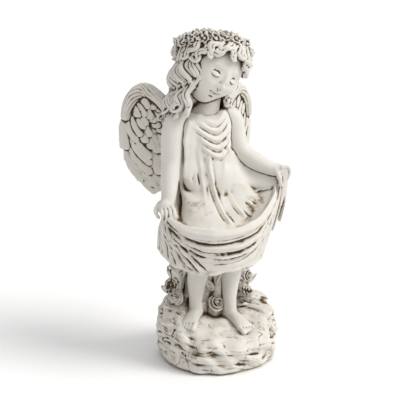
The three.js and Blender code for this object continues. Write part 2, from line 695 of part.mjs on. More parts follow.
function mound() {
  const rings = PROFILE.map(([share, rise], row) =>
    Array.from({ length: 28 }, (_, j) => {
      const a = (360 * j) / 28;
      const x = MOUND.radius * share * Math.sin(rad(a));
      const y = -MOUND.radius * 0.96 * share * Math.cos(rad(a));
      const top = mix(MOUND.top, shoulder(a)[1], smooth(share, 0.1, 0.75));
      const bump = row ? 1.6 * rockNoise(x, y, rise * 50) : 0;
      return V(x * (1 + bump / 60), y * (1 + bump / 60), rise * top + (row > 1 ? bump * 0.7 : 0));
    }),
  );
  return skin(rings, V(0, 0, 0), V(0, 0, MOUND.top));
}

function stump() {
  const keys = [
    [-6, 26, 40, 46, 22], [-6, 25, 62, 42, 20], [-6, 24, 85, 36, 17],
    [-6, 22, 110, 34, 16], [-6, 20, 145, 34, 18],
  ];
  return limb(keys, { sides: 9, steps: 6 });
}

function rose(at, normal, r) {
  const parts = [];
  const n = V(...normal).normalize();
  for (let i = 0; i < 3; i++) {
    const p = V(...at).addScaledVector(n, i * r * 0.3);
    parts.push(place(flower(r * (1 - 0.27 * i), { depth: 1, heart: 1.5 }), facing(p, n, 0.7 * i)));
  }
  return parts;
}

// The thicket against the stump: stems and buds as [x, y, z, half width, half depth] down their length.
const STEMS = [
  [
    [-49, 18, 128, 7, 6], [-49, 17, 115, 10, 10], [-47, 16, 103, 9, 9],
    [-50, 16, 84, 8, 9], [-54, 14, 62, 12, 11],
  ],
  [[4, 10, 124, 5, 6], [4, 6, 108, 7, 7], [4, 5, 95, 6, 7], [2, 6, 76, 7, 9], [0, 6, 56, 11, 10]],
  [[44, 12, 126, 6, 8], [43, 12, 108, 9, 8], [40, 12, 92, 8, 9], [43, 12, 76, 9, 9], [45, 8, 58, 14, 11]],
];

function growth() {
  const parts = STEMS.map((stem) => limb(stem, { sides: 7, steps: 5 }));
  parts.push(...rose([-57, 12, 98], [-0.8, -0.8, 0.2], 9));
  parts.push(...rose([-55, 5, 82], [-0.6, -0.8, 0.4], 10));
  parts.push(...rose([-2, -2, 69], [0, -0.8, 0.6], 11));
  parts.push(...rose([45, 4, 98], [0.4, -0.9, 0.2], 8));
  parts.push(...rose([44, 3, 78], [0.4, -0.8, 0.4], 8));
  const leaves = [
    [-22, 2, 60, 2.6], [10, -4, 62, 0.4], [30, 3, 64, 0.6],
    [-50, -2, 66, 2.4], [49, 7, 112, 1.2], [37, 6, 88, 1.9],
  ];
  for (const [x, y, z, turn] of leaves) {
    parts.push(place(leaf(15, 10, 6), facing(V(x, y, z), V(0, -0.8, 0.6), turn)));
  }
  parts.push(ball([55, 2, 66], [18, 15, 11], { turn: [0, 18, 20], wide: 7, high: 5 }));
  return parts;
}

// ---- The casting -----------------------------------------------------------------------------------

// The same pieces in groups, each with the number of triangles that its faceted form keeps.
const GROUPS = [
  [1620, [dress(), ...dressFolds(), ...allPleats()]],
  [720, [neckAndChest(), ...arms(), ...hands()]],
  [600, legsAndFeet()],
  [480, face()],
  [1400, [...hair(), ...bangs()]],
  [1180, wreath()],
  ...WINGS.map((w) => [680, wing(w)]),
  [840, [mound(), stump(), ...growth()]],
];

// A joined body as an indexed mesh.
function surface(body) {
  const mesh = body.getMesh();
  const stride = mesh.numProp;
  const points = new Float32Array(mesh.numVert * 3);
  for (let i = 0; i < mesh.numVert; i++) {
    points.set(mesh.vertProperties.subarray(i * stride, i * stride + 3), i * 3);
  }
  return new THREE.BufferGeometry()
    .setAttribute("position", new THREE.BufferAttribute(points, 3))
    .setIndex(new THREE.BufferAttribute(mesh.triVerts, 1));
}

// One group joined and thinned to about the given number of triangles.
async function thinned([triangles, geometries]) {
  const fine = surface(wasm.Manifold.union(geometries.map(solid)).simplify(0.1));
  const extra = (fine.index.count / 3 - triangles) / 2;
  return extra > 0 ? new SimplifyModifier().modify(fine, Math.round(extra)) : fine;
}

// The largest closed body among those of a joined solid.
const largest = (joined) => joined.decompose().reduce((a, b) => (a.volume() > b.volume() ? a : b));

// Skins that only touch at a corner are drawn apart there, so that every edge has just two faces.
function drawnApart(geometry, distance) {
  const points = geometry.getAttribute("position");
  const index = geometry.index.array;
  const at = (i) => V(points.getX(i), points.getY(i), points.getZ(i));
  const corners = new Map();
  for (let i = 0; i < points.count; i++) {
    const key = at(i).toArray().map((v) => Math.round(v * 100)).join();
    corners.set(key, [...(corners.get(key) ?? []), i]);
  }
  const touching = new Set([...corners.values()].filter((c) => c.length > 1).flat());
  const pull = new Map([...touching].map((i) => [i, V(0, 0, 0)]));
  for (let f = 0; f < index.length; f += 3) {
    for (let k = 0; k < 3; k++) {
      const [i, j, l] = [index[f + k], index[f + ((k + 1) % 3)], index[f + ((k + 2) % 3)]];
      if (touching.has(i)) pull.get(i).add(at(j)).add(at(l)).addScaledVector(at(i), -2);
    }
  }
  for (const [i, direction] of pull) {
    const p = at(i).addScaledVector(direction.normalize(), distance);
    points.setXYZ(i, p.x, p.y, p.z);
  }
  return geometry;
}

async function cast(groups) {
  const bodies = await Promise.all(groups.map(thinned));
  const joined = wasm.Manifold.union(bodies.map(solid));
  return drawnApart(surface(largest(joined.simplify(0.05))), 0.08);
}

const resin = new THREE.MeshStandardMaterial({
  color: 0xe3e1d8,
  roughness: 0.75,
  metalness: 0,
  flatShading: true,
});
const statue = new THREE.Mesh(await cast(GROUPS), resin);
statue.name = "statue";

const group = new THREE.Group();
group.add(statue);
export default group;
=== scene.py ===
import itertools
import math

import bpy
import numpy as np
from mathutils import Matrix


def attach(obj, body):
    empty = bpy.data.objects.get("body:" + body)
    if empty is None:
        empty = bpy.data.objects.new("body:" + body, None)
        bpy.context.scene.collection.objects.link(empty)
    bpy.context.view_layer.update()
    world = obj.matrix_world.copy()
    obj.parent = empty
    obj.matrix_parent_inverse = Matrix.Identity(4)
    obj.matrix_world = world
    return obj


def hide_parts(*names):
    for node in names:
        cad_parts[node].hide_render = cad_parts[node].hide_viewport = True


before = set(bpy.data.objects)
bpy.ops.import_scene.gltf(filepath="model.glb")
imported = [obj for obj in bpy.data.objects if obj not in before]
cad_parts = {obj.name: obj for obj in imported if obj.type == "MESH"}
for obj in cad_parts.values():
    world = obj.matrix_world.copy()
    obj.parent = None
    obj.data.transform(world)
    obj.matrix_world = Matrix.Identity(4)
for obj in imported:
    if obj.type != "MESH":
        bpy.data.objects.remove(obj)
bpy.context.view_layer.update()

import openvdb as vdb
from mathutils import Matrix, Vector

# A cherub garden statue in cast resin with an antique wash. All shapes are worked out in millimetres in the
# frame of the CAD and turned into metres when a piece is made. The figure faces -Y.

# ---- Main sizes --------------------

BODY = np.array([-12.0, 7.0])                       # the upright line that the dress hangs around
CHEST_YAW = 8.0
# The head stands 4.5 mm further to -X here than in the CAD, and it is rolled and turned more.
HEAD = dict(at=(-7.5, 0.0, 370.0), roll=27.0, crown=24.0, pitch=12.0, yaw=7.0)
SKULL = (36.0, 40.0, 41.0)
WREATH = dict(at=(-1.0, 11.0, 14.4), half=(38.5, 40.0), tilt=40.0, tube=7.0)
MOUND = dict(radius=76.0, top=52.0)
HANDS = dict(right=(-77.0, -19.0, 205.0), left=(74.0, -31.0, 231.0))
CAMERA = dict(turn=-25, away=1.3, height=0.535, aim=0.204, lens=97.2, shift=-0.0425)

# ---- Small tools --------------------


def unit(v):
    return v / np.maximum(np.linalg.norm(v, axis=-1, keepdims=True), 1e-9)


def mix(a, b, t):
    return a + (b - a) * t


def smooth(x, a, b):
    t = np.clip((x - a) / (b - a), 0, 1)
    return t * t * (3 - 2 * t)


def bell(x, w):
    return np.exp(-((x / w) ** 2))


def rot(axis, degrees):
    return np.array(Matrix.Rotation(math.radians(degrees), 3, axis))


def spline(keys, n):
    """A smooth line through the rows of keys, whose first three numbers are the place, in n + 1 samples."""
    k = np.asarray(keys, float)
    p = np.concatenate([2 * k[:1] - k[1:2], k, 2 * k[-1:] - k[-2:-1]])
    t = np.linspace(0, len(k) - 1, n + 1)
    i = np.minimum(t.astype(int), len(k) - 2)
    u = (t - i).reshape((-1,) + (1,) * (k.ndim - 1))
    a, b, c, d = p[i], p[i + 1], p[i + 2], p[i + 3]

    def gap(q, r):
        return np.maximum(np.linalg.norm((r - q)[..., :3], axis=-1, keepdims=True), 1e-6) ** 0.5

    g0, g1, g2 = gap(a, b), gap(b, c), gap(c, d)
    m1 = ((b - a) / g0 - (c - a) / (g0 + g1) + (c - b) / g1) * g1
    m2 = ((c - b) / g1 - (d - b) / (g1 + g2) + (d - c) / g2) * g1
    return b + m1 * u + (3 * (c - b) - 2 * m1 - m2) * u**2 + (2 * (b - c) + m1 + m2) * u**3


def skin(rings):
    """A closed mesh through rings of points, with its ends closed to their middles."""
    rings = np.asarray(rings, float)
    n, m = rings.shape[:2]
    points = np.vstack([rings.reshape(-1, 3), rings[0].mean(0), rings[-1].mean(0)])
    i, j = np.meshgrid(np.arange(n - 1), np.arange(m), indexing="ij")
    k = (j + 1) % m
    quads = np.stack([i * m + j, i * m + k, (i + 1) * m + k, (i + 1) * m + j], -1).reshape(-1, 4)
    j = np.arange(m)
    k = (j + 1) % m
    last = (n - 1) * m
    first_end = np.stack([k, j, np.full(m, n * m)], 1)
    last_end = np.stack([last + j, last + k, np.full(m, n * m + 1)], 1)
    return points, quads, np.vstack([first_end, last_end])


def sheet(front, back):
    """A closed mesh between two grids of points of the same size."""
    front, back = np.asarray(front, float), np.asarray(back, float)
    n, m = front.shape[:2]
    at = np.arange(2 * n * m).reshape(2, n, m)

    def quads(a):
        return np.stack([a[:-1, :-1], a[:-1, 1:], a[1:, 1:], a[1:, :-1]], -1).reshape(-1, 4)

    edge = np.concatenate([at[:, 0, :-1], at[:, :-1, -1], at[:, -1, :0:-1], at[:, :0:-1, 0]], axis=1)
    nxt = np.roll(edge, -1, axis=1)
    side = np.stack([edge[0], edge[1], nxt[1], nxt[0]], -1)
    points = np.concatenate([front, back]).reshape(-1, 3)
    return points, np.vstack([quads(at[0]), quads(at[1])[:, ::-1], side]), np.zeros((0, 3), int)


CAP = np.radians([80, 55, 28])      # the rings of a limb's round end


def frames(at, side):
    """The way along a line, the way to its side, and the way across both, at each of its points."""
    along = unit(np.gradient(at, axis=0))
    side = np.broadcast_to(np.asarray(side, float), at.shape)
    wide = unit(side - (side * along).sum(1, keepdims=True) * along)
    return along, wide, np.cross(along, wide)


def tube(keys, side=(1, 0, 0), sides=20, steps=30, bulge=0.8, rib=None):
    """A limb of oval section along a smooth line: keys are x, y, z and the two half sizes."""
    s = spline(keys, steps)
    at, a, b = s[:, :3], np.maximum(s[:, 3], 0.2), np.maximum(s[:, -1], 0.2)
    along, wide, deep = frames(at, side)
    turn = 2 * np.pi * np.arange(sides) / sides
    order = np.r_[0, 0, 0, np.arange(steps + 1), steps, steps, steps]
    shrink = np.r_[np.cos(CAP), np.ones(steps + 1), np.cos(CAP[::-1])][:, None, None]
    push = np.r_[-np.sin(CAP), np.zeros(steps + 1), np.sin(CAP[::-1])] * bulge
    push = (push * np.minimum(a, b)[order])[:, None]
    grow = np.ones((len(order), sides)) if rib is None else rib(order[:, None] / steps, turn[None, :])
    ring = wide[order, None] * (a[order, None] * np.cos(turn) * grow)[..., None]
    ring = ring + deep[order, None] * (b[order, None] * np.sin(turn) * grow)[..., None]
    return skin((at[order] + along[order] * push)[:, None] + ring * shrink)


def ball(at, r, turned=None, wide=28, high=18):
    lat = np.radians(np.linspace(-84, 84, high))[:, None]
    lon = (2 * np.pi * np.arange(wide) / wide)[None, :]
    p = np.stack([np.cos(lat) * np.cos(lon), np.cos(lat) * np.sin(lon), np.sin(lat) + 0 * lon], -1)
    p = p * np.array(r)
    return skin((p @ turned.T if turned is not None else p) + np.array(at))


def moved(mesh, at, turned):
    return mesh[0] @ np.asarray(turned).T + np.asarray(at), mesh[1], mesh[2]


def facing(normal, spin=0.0):
    """The turn that takes +Z to a normal, after a spin about +Z in degrees."""
    q = Vector((0, 0, 1)).rotation_difference(Vector(normal))
    return np.array(q.to_matrix()) @ rot("Z", spin)


def between(cell, share, read):
    """The value inside a cell of a grid, from the values that `read` gives at its eight corners."""
    out = 0
    for corner in itertools.product((0, 1), repeat=3):
        x, y, z = (share[..., k] if far else 1 - share[..., k] for k, far in enumerate(corner))
        out = out + x * y * z * read(cell + corner)
    return out


RANDOM = np.random.default_rng(11).random((32, 32, 32)).astype(np.float32)


def noise(p, size, seed=0):
    """Smooth noise from -1 to 1 whose lumps are about `size` across (one number or one for each axis)."""
    q = np.asarray(p) / np.asarray(size) + seed * 7.31
    i = np.floor(q).astype(int)
    f = q - i
    f = f * f * (3 - 2 * f)
    return between(i, f, lambda k: RANDOM[tuple(np.moveaxis(k % 32, -1, 0))]) * 2 - 1


def compass(keys):
    """A closed curve over the compass: keys are degrees, radius and height."""
    k = np.asarray(keys, float)
    turns = np.concatenate([k + [-360, 0, 0], k, k + [360, 0, 0]])

    def at(degrees):
        d = (np.asarray(degrees, float) + 180) % 360 - 180
        i = np.clip(np.searchsorted(turns[:, 0], d, side="right") - 1, 1, len(turns) - 3)
        p, a, b, q = turns[i - 1], turns[i], turns[i + 1], turns[i + 2]
        h = b[..., 0] - a[..., 0]
        t = (d - a[..., 0]) / h
        out = []
        for c in (1, 2):
            sa = (b[..., c] - p[..., c]) / (b[..., 0] - p[..., 0]) * h
            sb = (q[..., c] - a[..., c]) / (q[..., 0] - a[..., 0]) * h
            t2, t3 = t * t, t**3
            first = (2 * t3 - 3 * t2 + 1) * a[..., c] + (t3 - 2 * t2 + t) * sa
            out.append(first + (3 * t2 - 2 * t3) * b[..., c] + (t3 - t2) * sb)
        return out

    return at


class Clay:
    """Voxels that hold distances to a surface: shapes are added, and it gives one closed mesh."""

    band = 4        # distances are known this many voxels deep

    def __init__(self, low, high, voxel):
        self.low, self.voxel = np.array(low, float), voxel
        shape = np.ceil((np.array(high) - self.low) / voxel).astype(int) + 1
        self.d = np.full(shape, self.band * voxel, np.float32)
        self.place = vdb.createLinearTransform(voxelSize=voxel)

    def add(self, mesh, soft=0.0):
        points, quads, tris = mesh
        g = vdb.FloatGrid.createLevelSetFromPolygons(
            np.ascontiguousarray(points - self.low, np.float32),
            triangles=np.ascontiguousarray(tris, np.uint32),
            quads=np.ascontiguousarray(quads, np.uint32),
            transform=self.place,
            halfWidth=self.band,
        )
        first, last = g.evalActiveVoxelBoundingBox()
        first = np.clip(np.array(first), 0, np.array(self.d.shape) - 1)
        last = np.clip(np.array(last), 0, np.array(self.d.shape) - 1)
        a = np.empty(tuple(last - first + 1), np.float32)
        g.copyToArray(a, ijk=tuple(int(v) for v in first))
        part = self.d[tuple(slice(f, l + 1) for f, l in zip(first, last))]
        if soft:
            # A blend can't be wider than the band in which distances are known.
            soft = min(soft, self.band * self.voxel)
            h = np.maximum(soft - np.abs(part - a), 0) / soft
            part[:] = np.minimum(part, a) - h * h * (soft / 4)
        else:
            np.minimum(part, a, out=part)

    def skin(self, rounds):
        g = vdb.FloatGrid(self.band * self.voxel)
        g.copyFromArray(self.d)
        points, quads = g.convertToQuads(isovalue=0.0)
        quads = quads.astype(np.int64)
        return relaxed(points.astype(float) * self.voxel + self.low, quads, rounds), quads

    def solid(self):
        """The middles of the voxels inside the shape."""
        return np.argwhere(self.d < 0) * self.voxel + self.low


def normals(points, quads):
    n = np.cross(points[quads[:, 2]] - points[quads[:, 0]], points[quads[:, 3]] - points[quads[:, 1]])
    total = np.stack([np.bincount(quads.ravel(), np.repeat(n[:, c], 4), len(points)) for c in range(3)], 1)
    return unit(total)


def relaxed(points, quads, rounds, step=0.5):
    """Points drawn towards the middle of their neighbours."""
    a = quads.ravel()
    b = np.roll(quads, -1, axis=1).ravel()
    n = len(points)
    count = np.bincount(a, minlength=n) + np.bincount(b, minlength=n)
    for _ in range(rounds):
        total = [np.bincount(a, points[b, c], n) + np.bincount(b, points[a, c], n) for c in range(3)]
        points = points + (np.stack(total, 1) / count[:, None] - points) * step
    return points


def stroke(points, line, width):
    """How near each point is to a line (1 on it, 0.1 at `width`), and how far along the line it lies."""
    line = np.asarray(line, float)
    reach = 2.5 * width
    near = np.where(((points > line.min(0) - reach) & (points < line.max(0) + reach)).all(1))[0]
    weight, along = np.zeros(len(points)), np.zeros(len(points))
    if len(near):
        p = points[near]
        best = np.full(len(near), 1e9)
        for i in range(len(line) - 1):
            d = line[i + 1] - line[i]
            t = np.clip(((p - line[i]) @ d) / max(d @ d, 1e-9), 0, 1)
            gap = ((p - line[i] - t[:, None] * d) ** 2).sum(1)
            take = gap < best
            best = np.where(take, gap, best)
            along[near] = np.where(take, (i + t) / (len(line) - 1), along[near])
        weight[near] = np.exp(-best / (width / 1.5) ** 2)
    return weight, along


# ---- Head --------------------


def head_turn(roll):
    return rot("Y", roll) @ rot("X", HEAD["pitch"]) @ rot("Z", HEAD["yaw"])


FACE_TURN, CROWN_TURN = head_turn(HEAD["roll"]), head_turn(HEAD["crown"])

# Soft mounds and hollows of a calm child's face with closed eyes: x, z, half width, half height, how far out.
# Those with x above 0 are on both sides.
FEATURES = [
    (0, 22, 18, 9, 1.4), (13.5, 2.5, 8, 6, -3.3), (13, 10, 9, 2.8, 0.7), (0, 3, 3, 7, 2.4),
    (0, -5, 2.7, 6, 3.0), (0, -11, 3.5, 3.2, 5.4), (3.9, -12.7, 2, 1.9, 2.7), (1.9, -14.9, 1, 0.8, -1.8),
    (0, -17.8, 1, 1.8, -0.6), (13.2, -0.5, 5.8, 3.8, 3.9), (13, -6.8, 7, 1.8, -0.6),
    (17.5, -15, 10, 9, 4.6), (0, -21.5, 9, 6.5, 2.4), (2, -19.9, 2.6, 1.2, 1.3), (0, -20.5, 1.3, 1, 0.5),
    (0, -24, 4.2, 1.6, 2.3), (6.8, -21.4, 1.2, 1.2, -1.2), (0, -27.6, 5.5, 1.9, -1.8),
    (0, -34.5, 7.5, 6, 3.8),
]


def face_relief(x, z):
    out = 0
    for fx, fz, w, h, amount in FEATURES:
        side = np.abs(x) - fx if fx else x
        out = out + amount * np.exp(-((side / w) ** 2) - ((z - fz) / h) ** 2)
    e = np.abs(x) - 13.2
    span = np.exp(-((e / 5.8) ** 6))
    lash = z - (-3.2 + 0.07 * e**2)
    fold = z - (3.0 - 0.06 * e**2)
    out = out + span * (0.7 * bell(lash - 1.2, 0.8) - 2.7 * bell(lash, 1.0) - 0.9 * bell(fold, 0.8))
    mouth = z - (-22 + 0.022 * x**2)
    return out - 2.0 * bell(mouth, 0.75) * np.exp(-((x / 6.4) ** 4))


def face():
    """The front of the head with the face on it, narrower towards the chin."""
    w, d, h = SKULL
    lat = np.radians(np.linspace(-84, 84, 330))[:, None]
    turn = np.linspace(-180, 180, 420, endpoint=False)
    turn = np.radians(turn - 22 * np.sin(np.radians(turn)) * np.cos(np.radians(turn) / 2) ** 2)[None, :]
    x = w * np.sin(turn) * np.cos(lat)
    y = -d * np.cos(turn) * np.cos(lat)
    z = h * np.sin(lat) + 0 * turn
    low = smooth(-z, 4, h)
    x = x * (1 - 0.3 * low)
    y = np.where(y < 0, y * (1 - 0.12 * low), y * (1 - 0.45 * low))
    z = z - np.where(y < 0, 5 * low * smooth(-y, 0, d * 0.5), 0)
    y = y - np.where(y < 0, face_relief(x, z) * smooth(-y, 0, 16), 0)
    return moved(skin(np.stack([x, y, z], -1)), HEAD["at"], FACE_TURN)


def neck():
    keys = [[-13, 9, 290, 26, 16.4], [-12.5, 8.5, 304, 26.5, 15.4], [-11, 7.5, 313, 20.5, 14],
            [-9, 6, 321, 15, 12.6], [-6, 4, 333, 12.2, 11.8], [-3, 2, 350, 13, 13]]
    return tube(keys, sides=48, steps=60)


def strands(path, thick, count, seed, spread):
    """A lock of hair along a path: a core, and strands side by side on it. `thick` is the half width."""
    away = (path - [-8.0, 6.0, 0.0]) * [1, 1, 0.15]
    _, deep, wide = frames(path, unit(away))
    side = deep.mean(0)
    steps = len(path) - 1
    core = np.column_stack([path - deep * thick[:, None] * 0.25, thick * 0.72, thick * 0.5])
    made = [tube(core, side=side, sides=12, steps=steps)]
    t = np.linspace(0, 1, len(path))
    for j in range(count):
        share = (j + 0.5) / count * 2 - 1
        lean = np.radians(spread * share + 16 * np.sin(7 * t + 2.1 * j + seed))
        at = path + wide * (np.sin(lean) * thick * 0.8)[:, None]
        at = at + deep * (np.cos(lean) * thick * 0.42)[:, None]
        size = thick * (1.35 / count) * (1 + 0.18 * np.sin(9 * t + 1.7 * j + seed))
        made.append(tube(np.column_stack([at, size, size]), side=side, sides=10, steps=steps))
    return made


def waving(length, wave, swing, phase, curl, steps):
    """A line that winds down from (0, 0) and curls up at its end: how far aside and how far down."""
    s = np.linspace(0, length, steps + 1)
    head = np.radians(swing) * np.cos(2 * np.pi * s / wave + phase) * smooth(s, -0.3 * wave, 0.5 * wave)
    head = head * (1 - smooth(s, length - 0.6 * wave, length))
    head = head + np.radians(curl) * smooth(s, length - 0.62 * wave, length) ** 1.3
    ds = length / steps
    return np.cumsum(np.sin(head)) * ds, np.cumsum(np.cos(head)) * ds, s / length


def lock(degrees, top, bottom, out, thick, phase, coil, hook, seed):
    """A lock that winds down the side of the head like a loose corkscrew and hooks up at its end."""
    t = np.linspace(0, 1, 54)
    w = 2 * np.pi * t * (top - bottom) / 35 + phase + 0.4 * np.sin(4 * t + seed)
    grow = coil * smooth(t, -0.05, 0.35) * (1 - 0.5 * smooth(t, 0.85, 1))
    aside, deep, z = grow * np.sin(w), 0.66 * grow * np.cos(w + 0.5), mix(top, bottom, t)
    turn = np.radians(np.linspace(8, 235, 22))
    r = thick * mix(0.95, 0.5, np.linspace(0, 1, 22))
    lean = math.radians(hook)
    aside = np.r_[aside, aside[-1] + math.sin(lean) * r * (1 - np.cos(turn))]
    deep = np.r_[deep, deep[-1] + math.cos(lean) * r * (1 - np.cos(turn))]
    z = np.r_[z, z[-1] - r * np.sin(turn)]
    share = np.r_[t, np.linspace(1, 1.25, 22)]
    drop = np.clip((400 - z) / 90, 0, 1.1)
    r = out * (0.85 + 0.17 * np.sin(np.pi * np.minimum(0.75, 1.1 * share))) + deep
    a = np.radians(degrees) + aside / out
    path = np.stack([mix(1, -25, drop) + r * np.sin(a), mix(2, 9, drop) - r * np.cos(a), z], -1)
    full = 0.8 + 0.3 * np.sin(np.pi * np.minimum(0.9, share + 0.08))
    return strands(path, thick * full * (1 - 0.42 * smooth(share, 0.85, 1.25)), 4, seed, 72)


def hair():
    """The cap of combed hair, the mass behind the neck, and the locks at the right, left and back."""
    mass = [[-2, 17, 384, 23, 22], [-10, 20, 366, 31, 26], [-18, 23, 345, 31, 24], [-20, 26, 326, 29, 18],
            [-22, 27, 314, 20, 11]]
    made = [moved(cap(), HEAD["at"], CROWN_TURN), tube(mass, sides=60, steps=50)]
    for i, a in enumerate([-48, -62, -77, -92, -107, -122]):
        bottom, thick = 322 - 2 * i + 7 * (i % 2), (5.8, 6.8)[i % 2]
        coil, hook = (4.5, 6.6, 7.4, 7.6, 7.6, 6.5)[i], (20, -50, 60, -60, 80, 90)[i]
        made += lock(a, 403, bottom, 37.5, thick, 0.2 - 0.55 * i, coil, hook, i)
    for i, a in enumerate([54, 69, 84, 99, 113, 127]):
        out, thick, coil = 32 + 1.6 * i, 4.6 + 0.3 * i, 3.4 + 0.4 * i
        made += lock(a, 386, 330 - 4 * i, out, thick, 2.6 - 0.8 * i, coil, (-40, 20)[i % 2], 10 + i)
    for i, a in enumerate([-137, -151, -165, -179, 167, 153, 139]):
        bottom, thick, hook = 308 + 7 * (i % 2), (5.4, 6.4)[i % 2], (40, -40)[i % 2]
        made += lock(a, 392, bottom, 43, thick, 0.4 + 0.9 * i, 5.4, hook, 20 + i)
    return made


def cap():
    """Combed hair over the skull, drawn in below the hairline so that the face stays bare."""
    points, quads, tris = ball((0, 0, 0), (1, 1, 1), wide=360, high=160)
    turn = np.arctan2(points[:, 0], -points[:, 1] - 0.25)
    wander = noise(points, 0.5, 3)
    comb = np.abs(np.sin(19 * (turn + wander * 0.12))) + 0.5 * np.abs(np.sin(43 * (turn + wander * 0.07)))
    size = np.array([SKULL[0] + 4, SKULL[1] + 2, SKULL[2] - 4.4])
    p = points * (size - 1.4 + 1.3 * comb[:, None]) + [-3, 6, 5]
    q = p @ CROWN_TURN.T @ FACE_TURN
    hairline = 31 - 20 * (np.abs(q[:, 0]) / 34) ** 2.5
    bare = smooth(hairline - q[:, 2], -2, 4) * smooth(-q[:, 1], 0, 9)
    return p * (1 - 0.22 * bare[:, None]), quads, tris


def bangs():
    """The fringe: waved locks that lean away from the parting and hook up at their ends."""
    made = []
    for i in range(11):
        a0 = (-68, -54, -41, -29, -17, -6, 8, 20, 33, 47, 62)[i]
        off = abs(a0 - 1) / 65
        way = -1 if a0 < 1 else 1
        right = max(0, math.sin(math.radians(a0)))
        length = (17, 22)[i % 2] + 13 * off + 5 * right + 12 * smooth(-a0, 35, 60)
        aside, down, t = waving(length, 19, 54, (1.2, 2.4)[i % 2], 130 * way * (1, 0.8, -0.7)[i % 3], 44)
        out = mix(-5, 2.2, smooth(t, 0, 0.4)) + (1.2, -0.6)[i % 2]
        a = np.radians(a0 + way * (7 + 6 * off) * t) + aside / 36
        z = 41 - 7 * off + 3 * right - down * (0.92 + 0.25 * off)
        width = np.sqrt(np.clip(1 - np.maximum(0, z / SKULL[2]) ** 2 * 0.5, 0.3, 1))
        across, front = SKULL[0] * width * 1.06 + out, SKULL[1] * width * 1.06 + out
        path = np.stack([across * np.sin(a), -front * np.cos(a) * 0.98, z], -1)
        path = path @ FACE_TURN.T + HEAD["at"]
        made += strands(path, 5.4 * (1 - 0.4 * t), 3, i, 66)
    return made


def flower(radius, cup):
    """A flower that lies in its own XY plane: cupped petals with a groove down each, around a bead."""
    petals = 5
    turn = 2 * np.pi * np.arange(petals * 12) / (petals * 12)
    leafy = np.abs(np.cos(petals * turn / 2)) ** 0.42
    edge = 0.44 + 0.56 * leafy
    rings = []
    for rho, rise in [(0.22, 0.02), (0.38, 0), (0.55, 0.12), (0.75, 0.45), (0.93, 0.95), (1, 1)]:
        r = radius * rho * (edge * rho + (1 - rho) * 0.8)
        z = radius * (cup * rise * leafy - 0.14 * (1 - leafy) - 0.05 * bell(np.sin(petals * turn / 2), 0.2))
        rings.append(np.stack([r * np.cos(turn), r * np.sin(turn), z], -1))
    under = rings[-1] * [0.94, 0.94, 1] - [0, 0, radius * 0.22]
    rings += [under, under * [0.4, 0.4, 0] - [0, 0, radius * 0.5]]
    bead = (radius * 0.24, radius * 0.24, radius * 0.22)
    return [skin(rings), ball((0, 0, radius * 0.08), bead, wide=12, high=8)]


def leaf(length, width, bend, thick=1.1):
    """A leaf along +X in its own XY plane, folded along its midrib, with side veins."""
    u, v = np.meshgrid(np.linspace(0, 1, 26), np.linspace(-1, 1, 15), indexing="ij")
    half = width / 2 * np.sin(np.pi * u**0.8) ** 0.75 + 0.15
    veins = 0.25 * np.abs(np.sin(5 * np.pi * (u - 0.25 * np.abs(v))))
    z = bend * length * u**2 * 0.6 - 0.28 * half * (1 - np.abs(v)) + veins
    front = np.stack([u * length, v * half, z], -1)
    return sheet(front, front - [0, 0, thick])


def on_wreath(degrees, around, lift):
    """A place on the wreath's tube and the way out of it: degrees along the wreath and around the tube."""
    a, b = math.radians(degrees), math.radians(around)
    r = WREATH["tube"] + lift
    out = np.array([math.sin(a), -math.cos(a), 0])
    p = out * [WREATH["half"][0], WREATH["half"][1], 0] + out * r * math.cos(b) + [0, 0, r * math.sin(b)]
    turn = rot("X", -WREATH["tilt"])
    return turn @ p + WREATH["at"], turn @ (out * math.cos(b) + [0, 0, math.sin(b)])


def wreath():
    """Flowers, leaves and buds packed round a band."""
    rng = np.random.default_rng(5)
    band = [[*on_wreath(a, 30, -6.9)[0], 4.4, 4.4] for a in range(0, 361, 20)]
    made = [tube(band, side=(0, 0, 1), sides=18, steps=90)]

    def put(shapes, degrees, around, lift, spin, lean):
        at, normal = on_wreath(degrees + 3 * rng.normal(), around + 7 * rng.normal(), lift)
        normal = unit(normal + lean * rng.normal(size=3))
        for shape in shapes:
            made.append(moved(shape, at, facing(normal, spin)))

    rows = [(-66, 16, 5.8), (-32, 18, 7.0), (2, 20, 7.4), (36, 20, 7.6), (70, 19, 7.2), (104, 15, 6.4)]
    for around, count, radius in rows:
        for i in range(count):
            shapes = flower(radius * rng.uniform(0.86, 1.06), rng.uniform(0.22, 0.42))
            degrees, lift = 360 * (i + 0.5 * (around % 3)) / count, rng.uniform(-0.8, 1.8)
            put(shapes, degrees, around, lift, 360 * rng.random(), 0.3)
    for i in range(44):
        blade, around = leaf(rng.uniform(7, 9.5), 4.6, 0.35), rng.uniform(-60, 125)
        put([blade], 360 * i / 44, around, -0.6, 360 * rng.random(), 0.16)
    bud = ball((0, 0, 0), (1.8, 1.8, 2.1), wide=12, high=8)
    for i in range(50):
        put([bud], 360 * i / 44, rng.uniform(-45, 110), 1.8, 0, 0.1)
    return [moved(m, HEAD["at"], CROWN_TURN) for m in made]


def head():
    clay = Clay((-82, -49, 284), (57, 76, 421), 0.61)
    clay.add(neck())
    clay.add(face(), 5)
    for m in hair() + bangs():
        clay.add(m, 0.5)
    for m in wreath():
        clay.add(m, 0.3)
    return clay


# ---- Dress, arms and hands --------------------

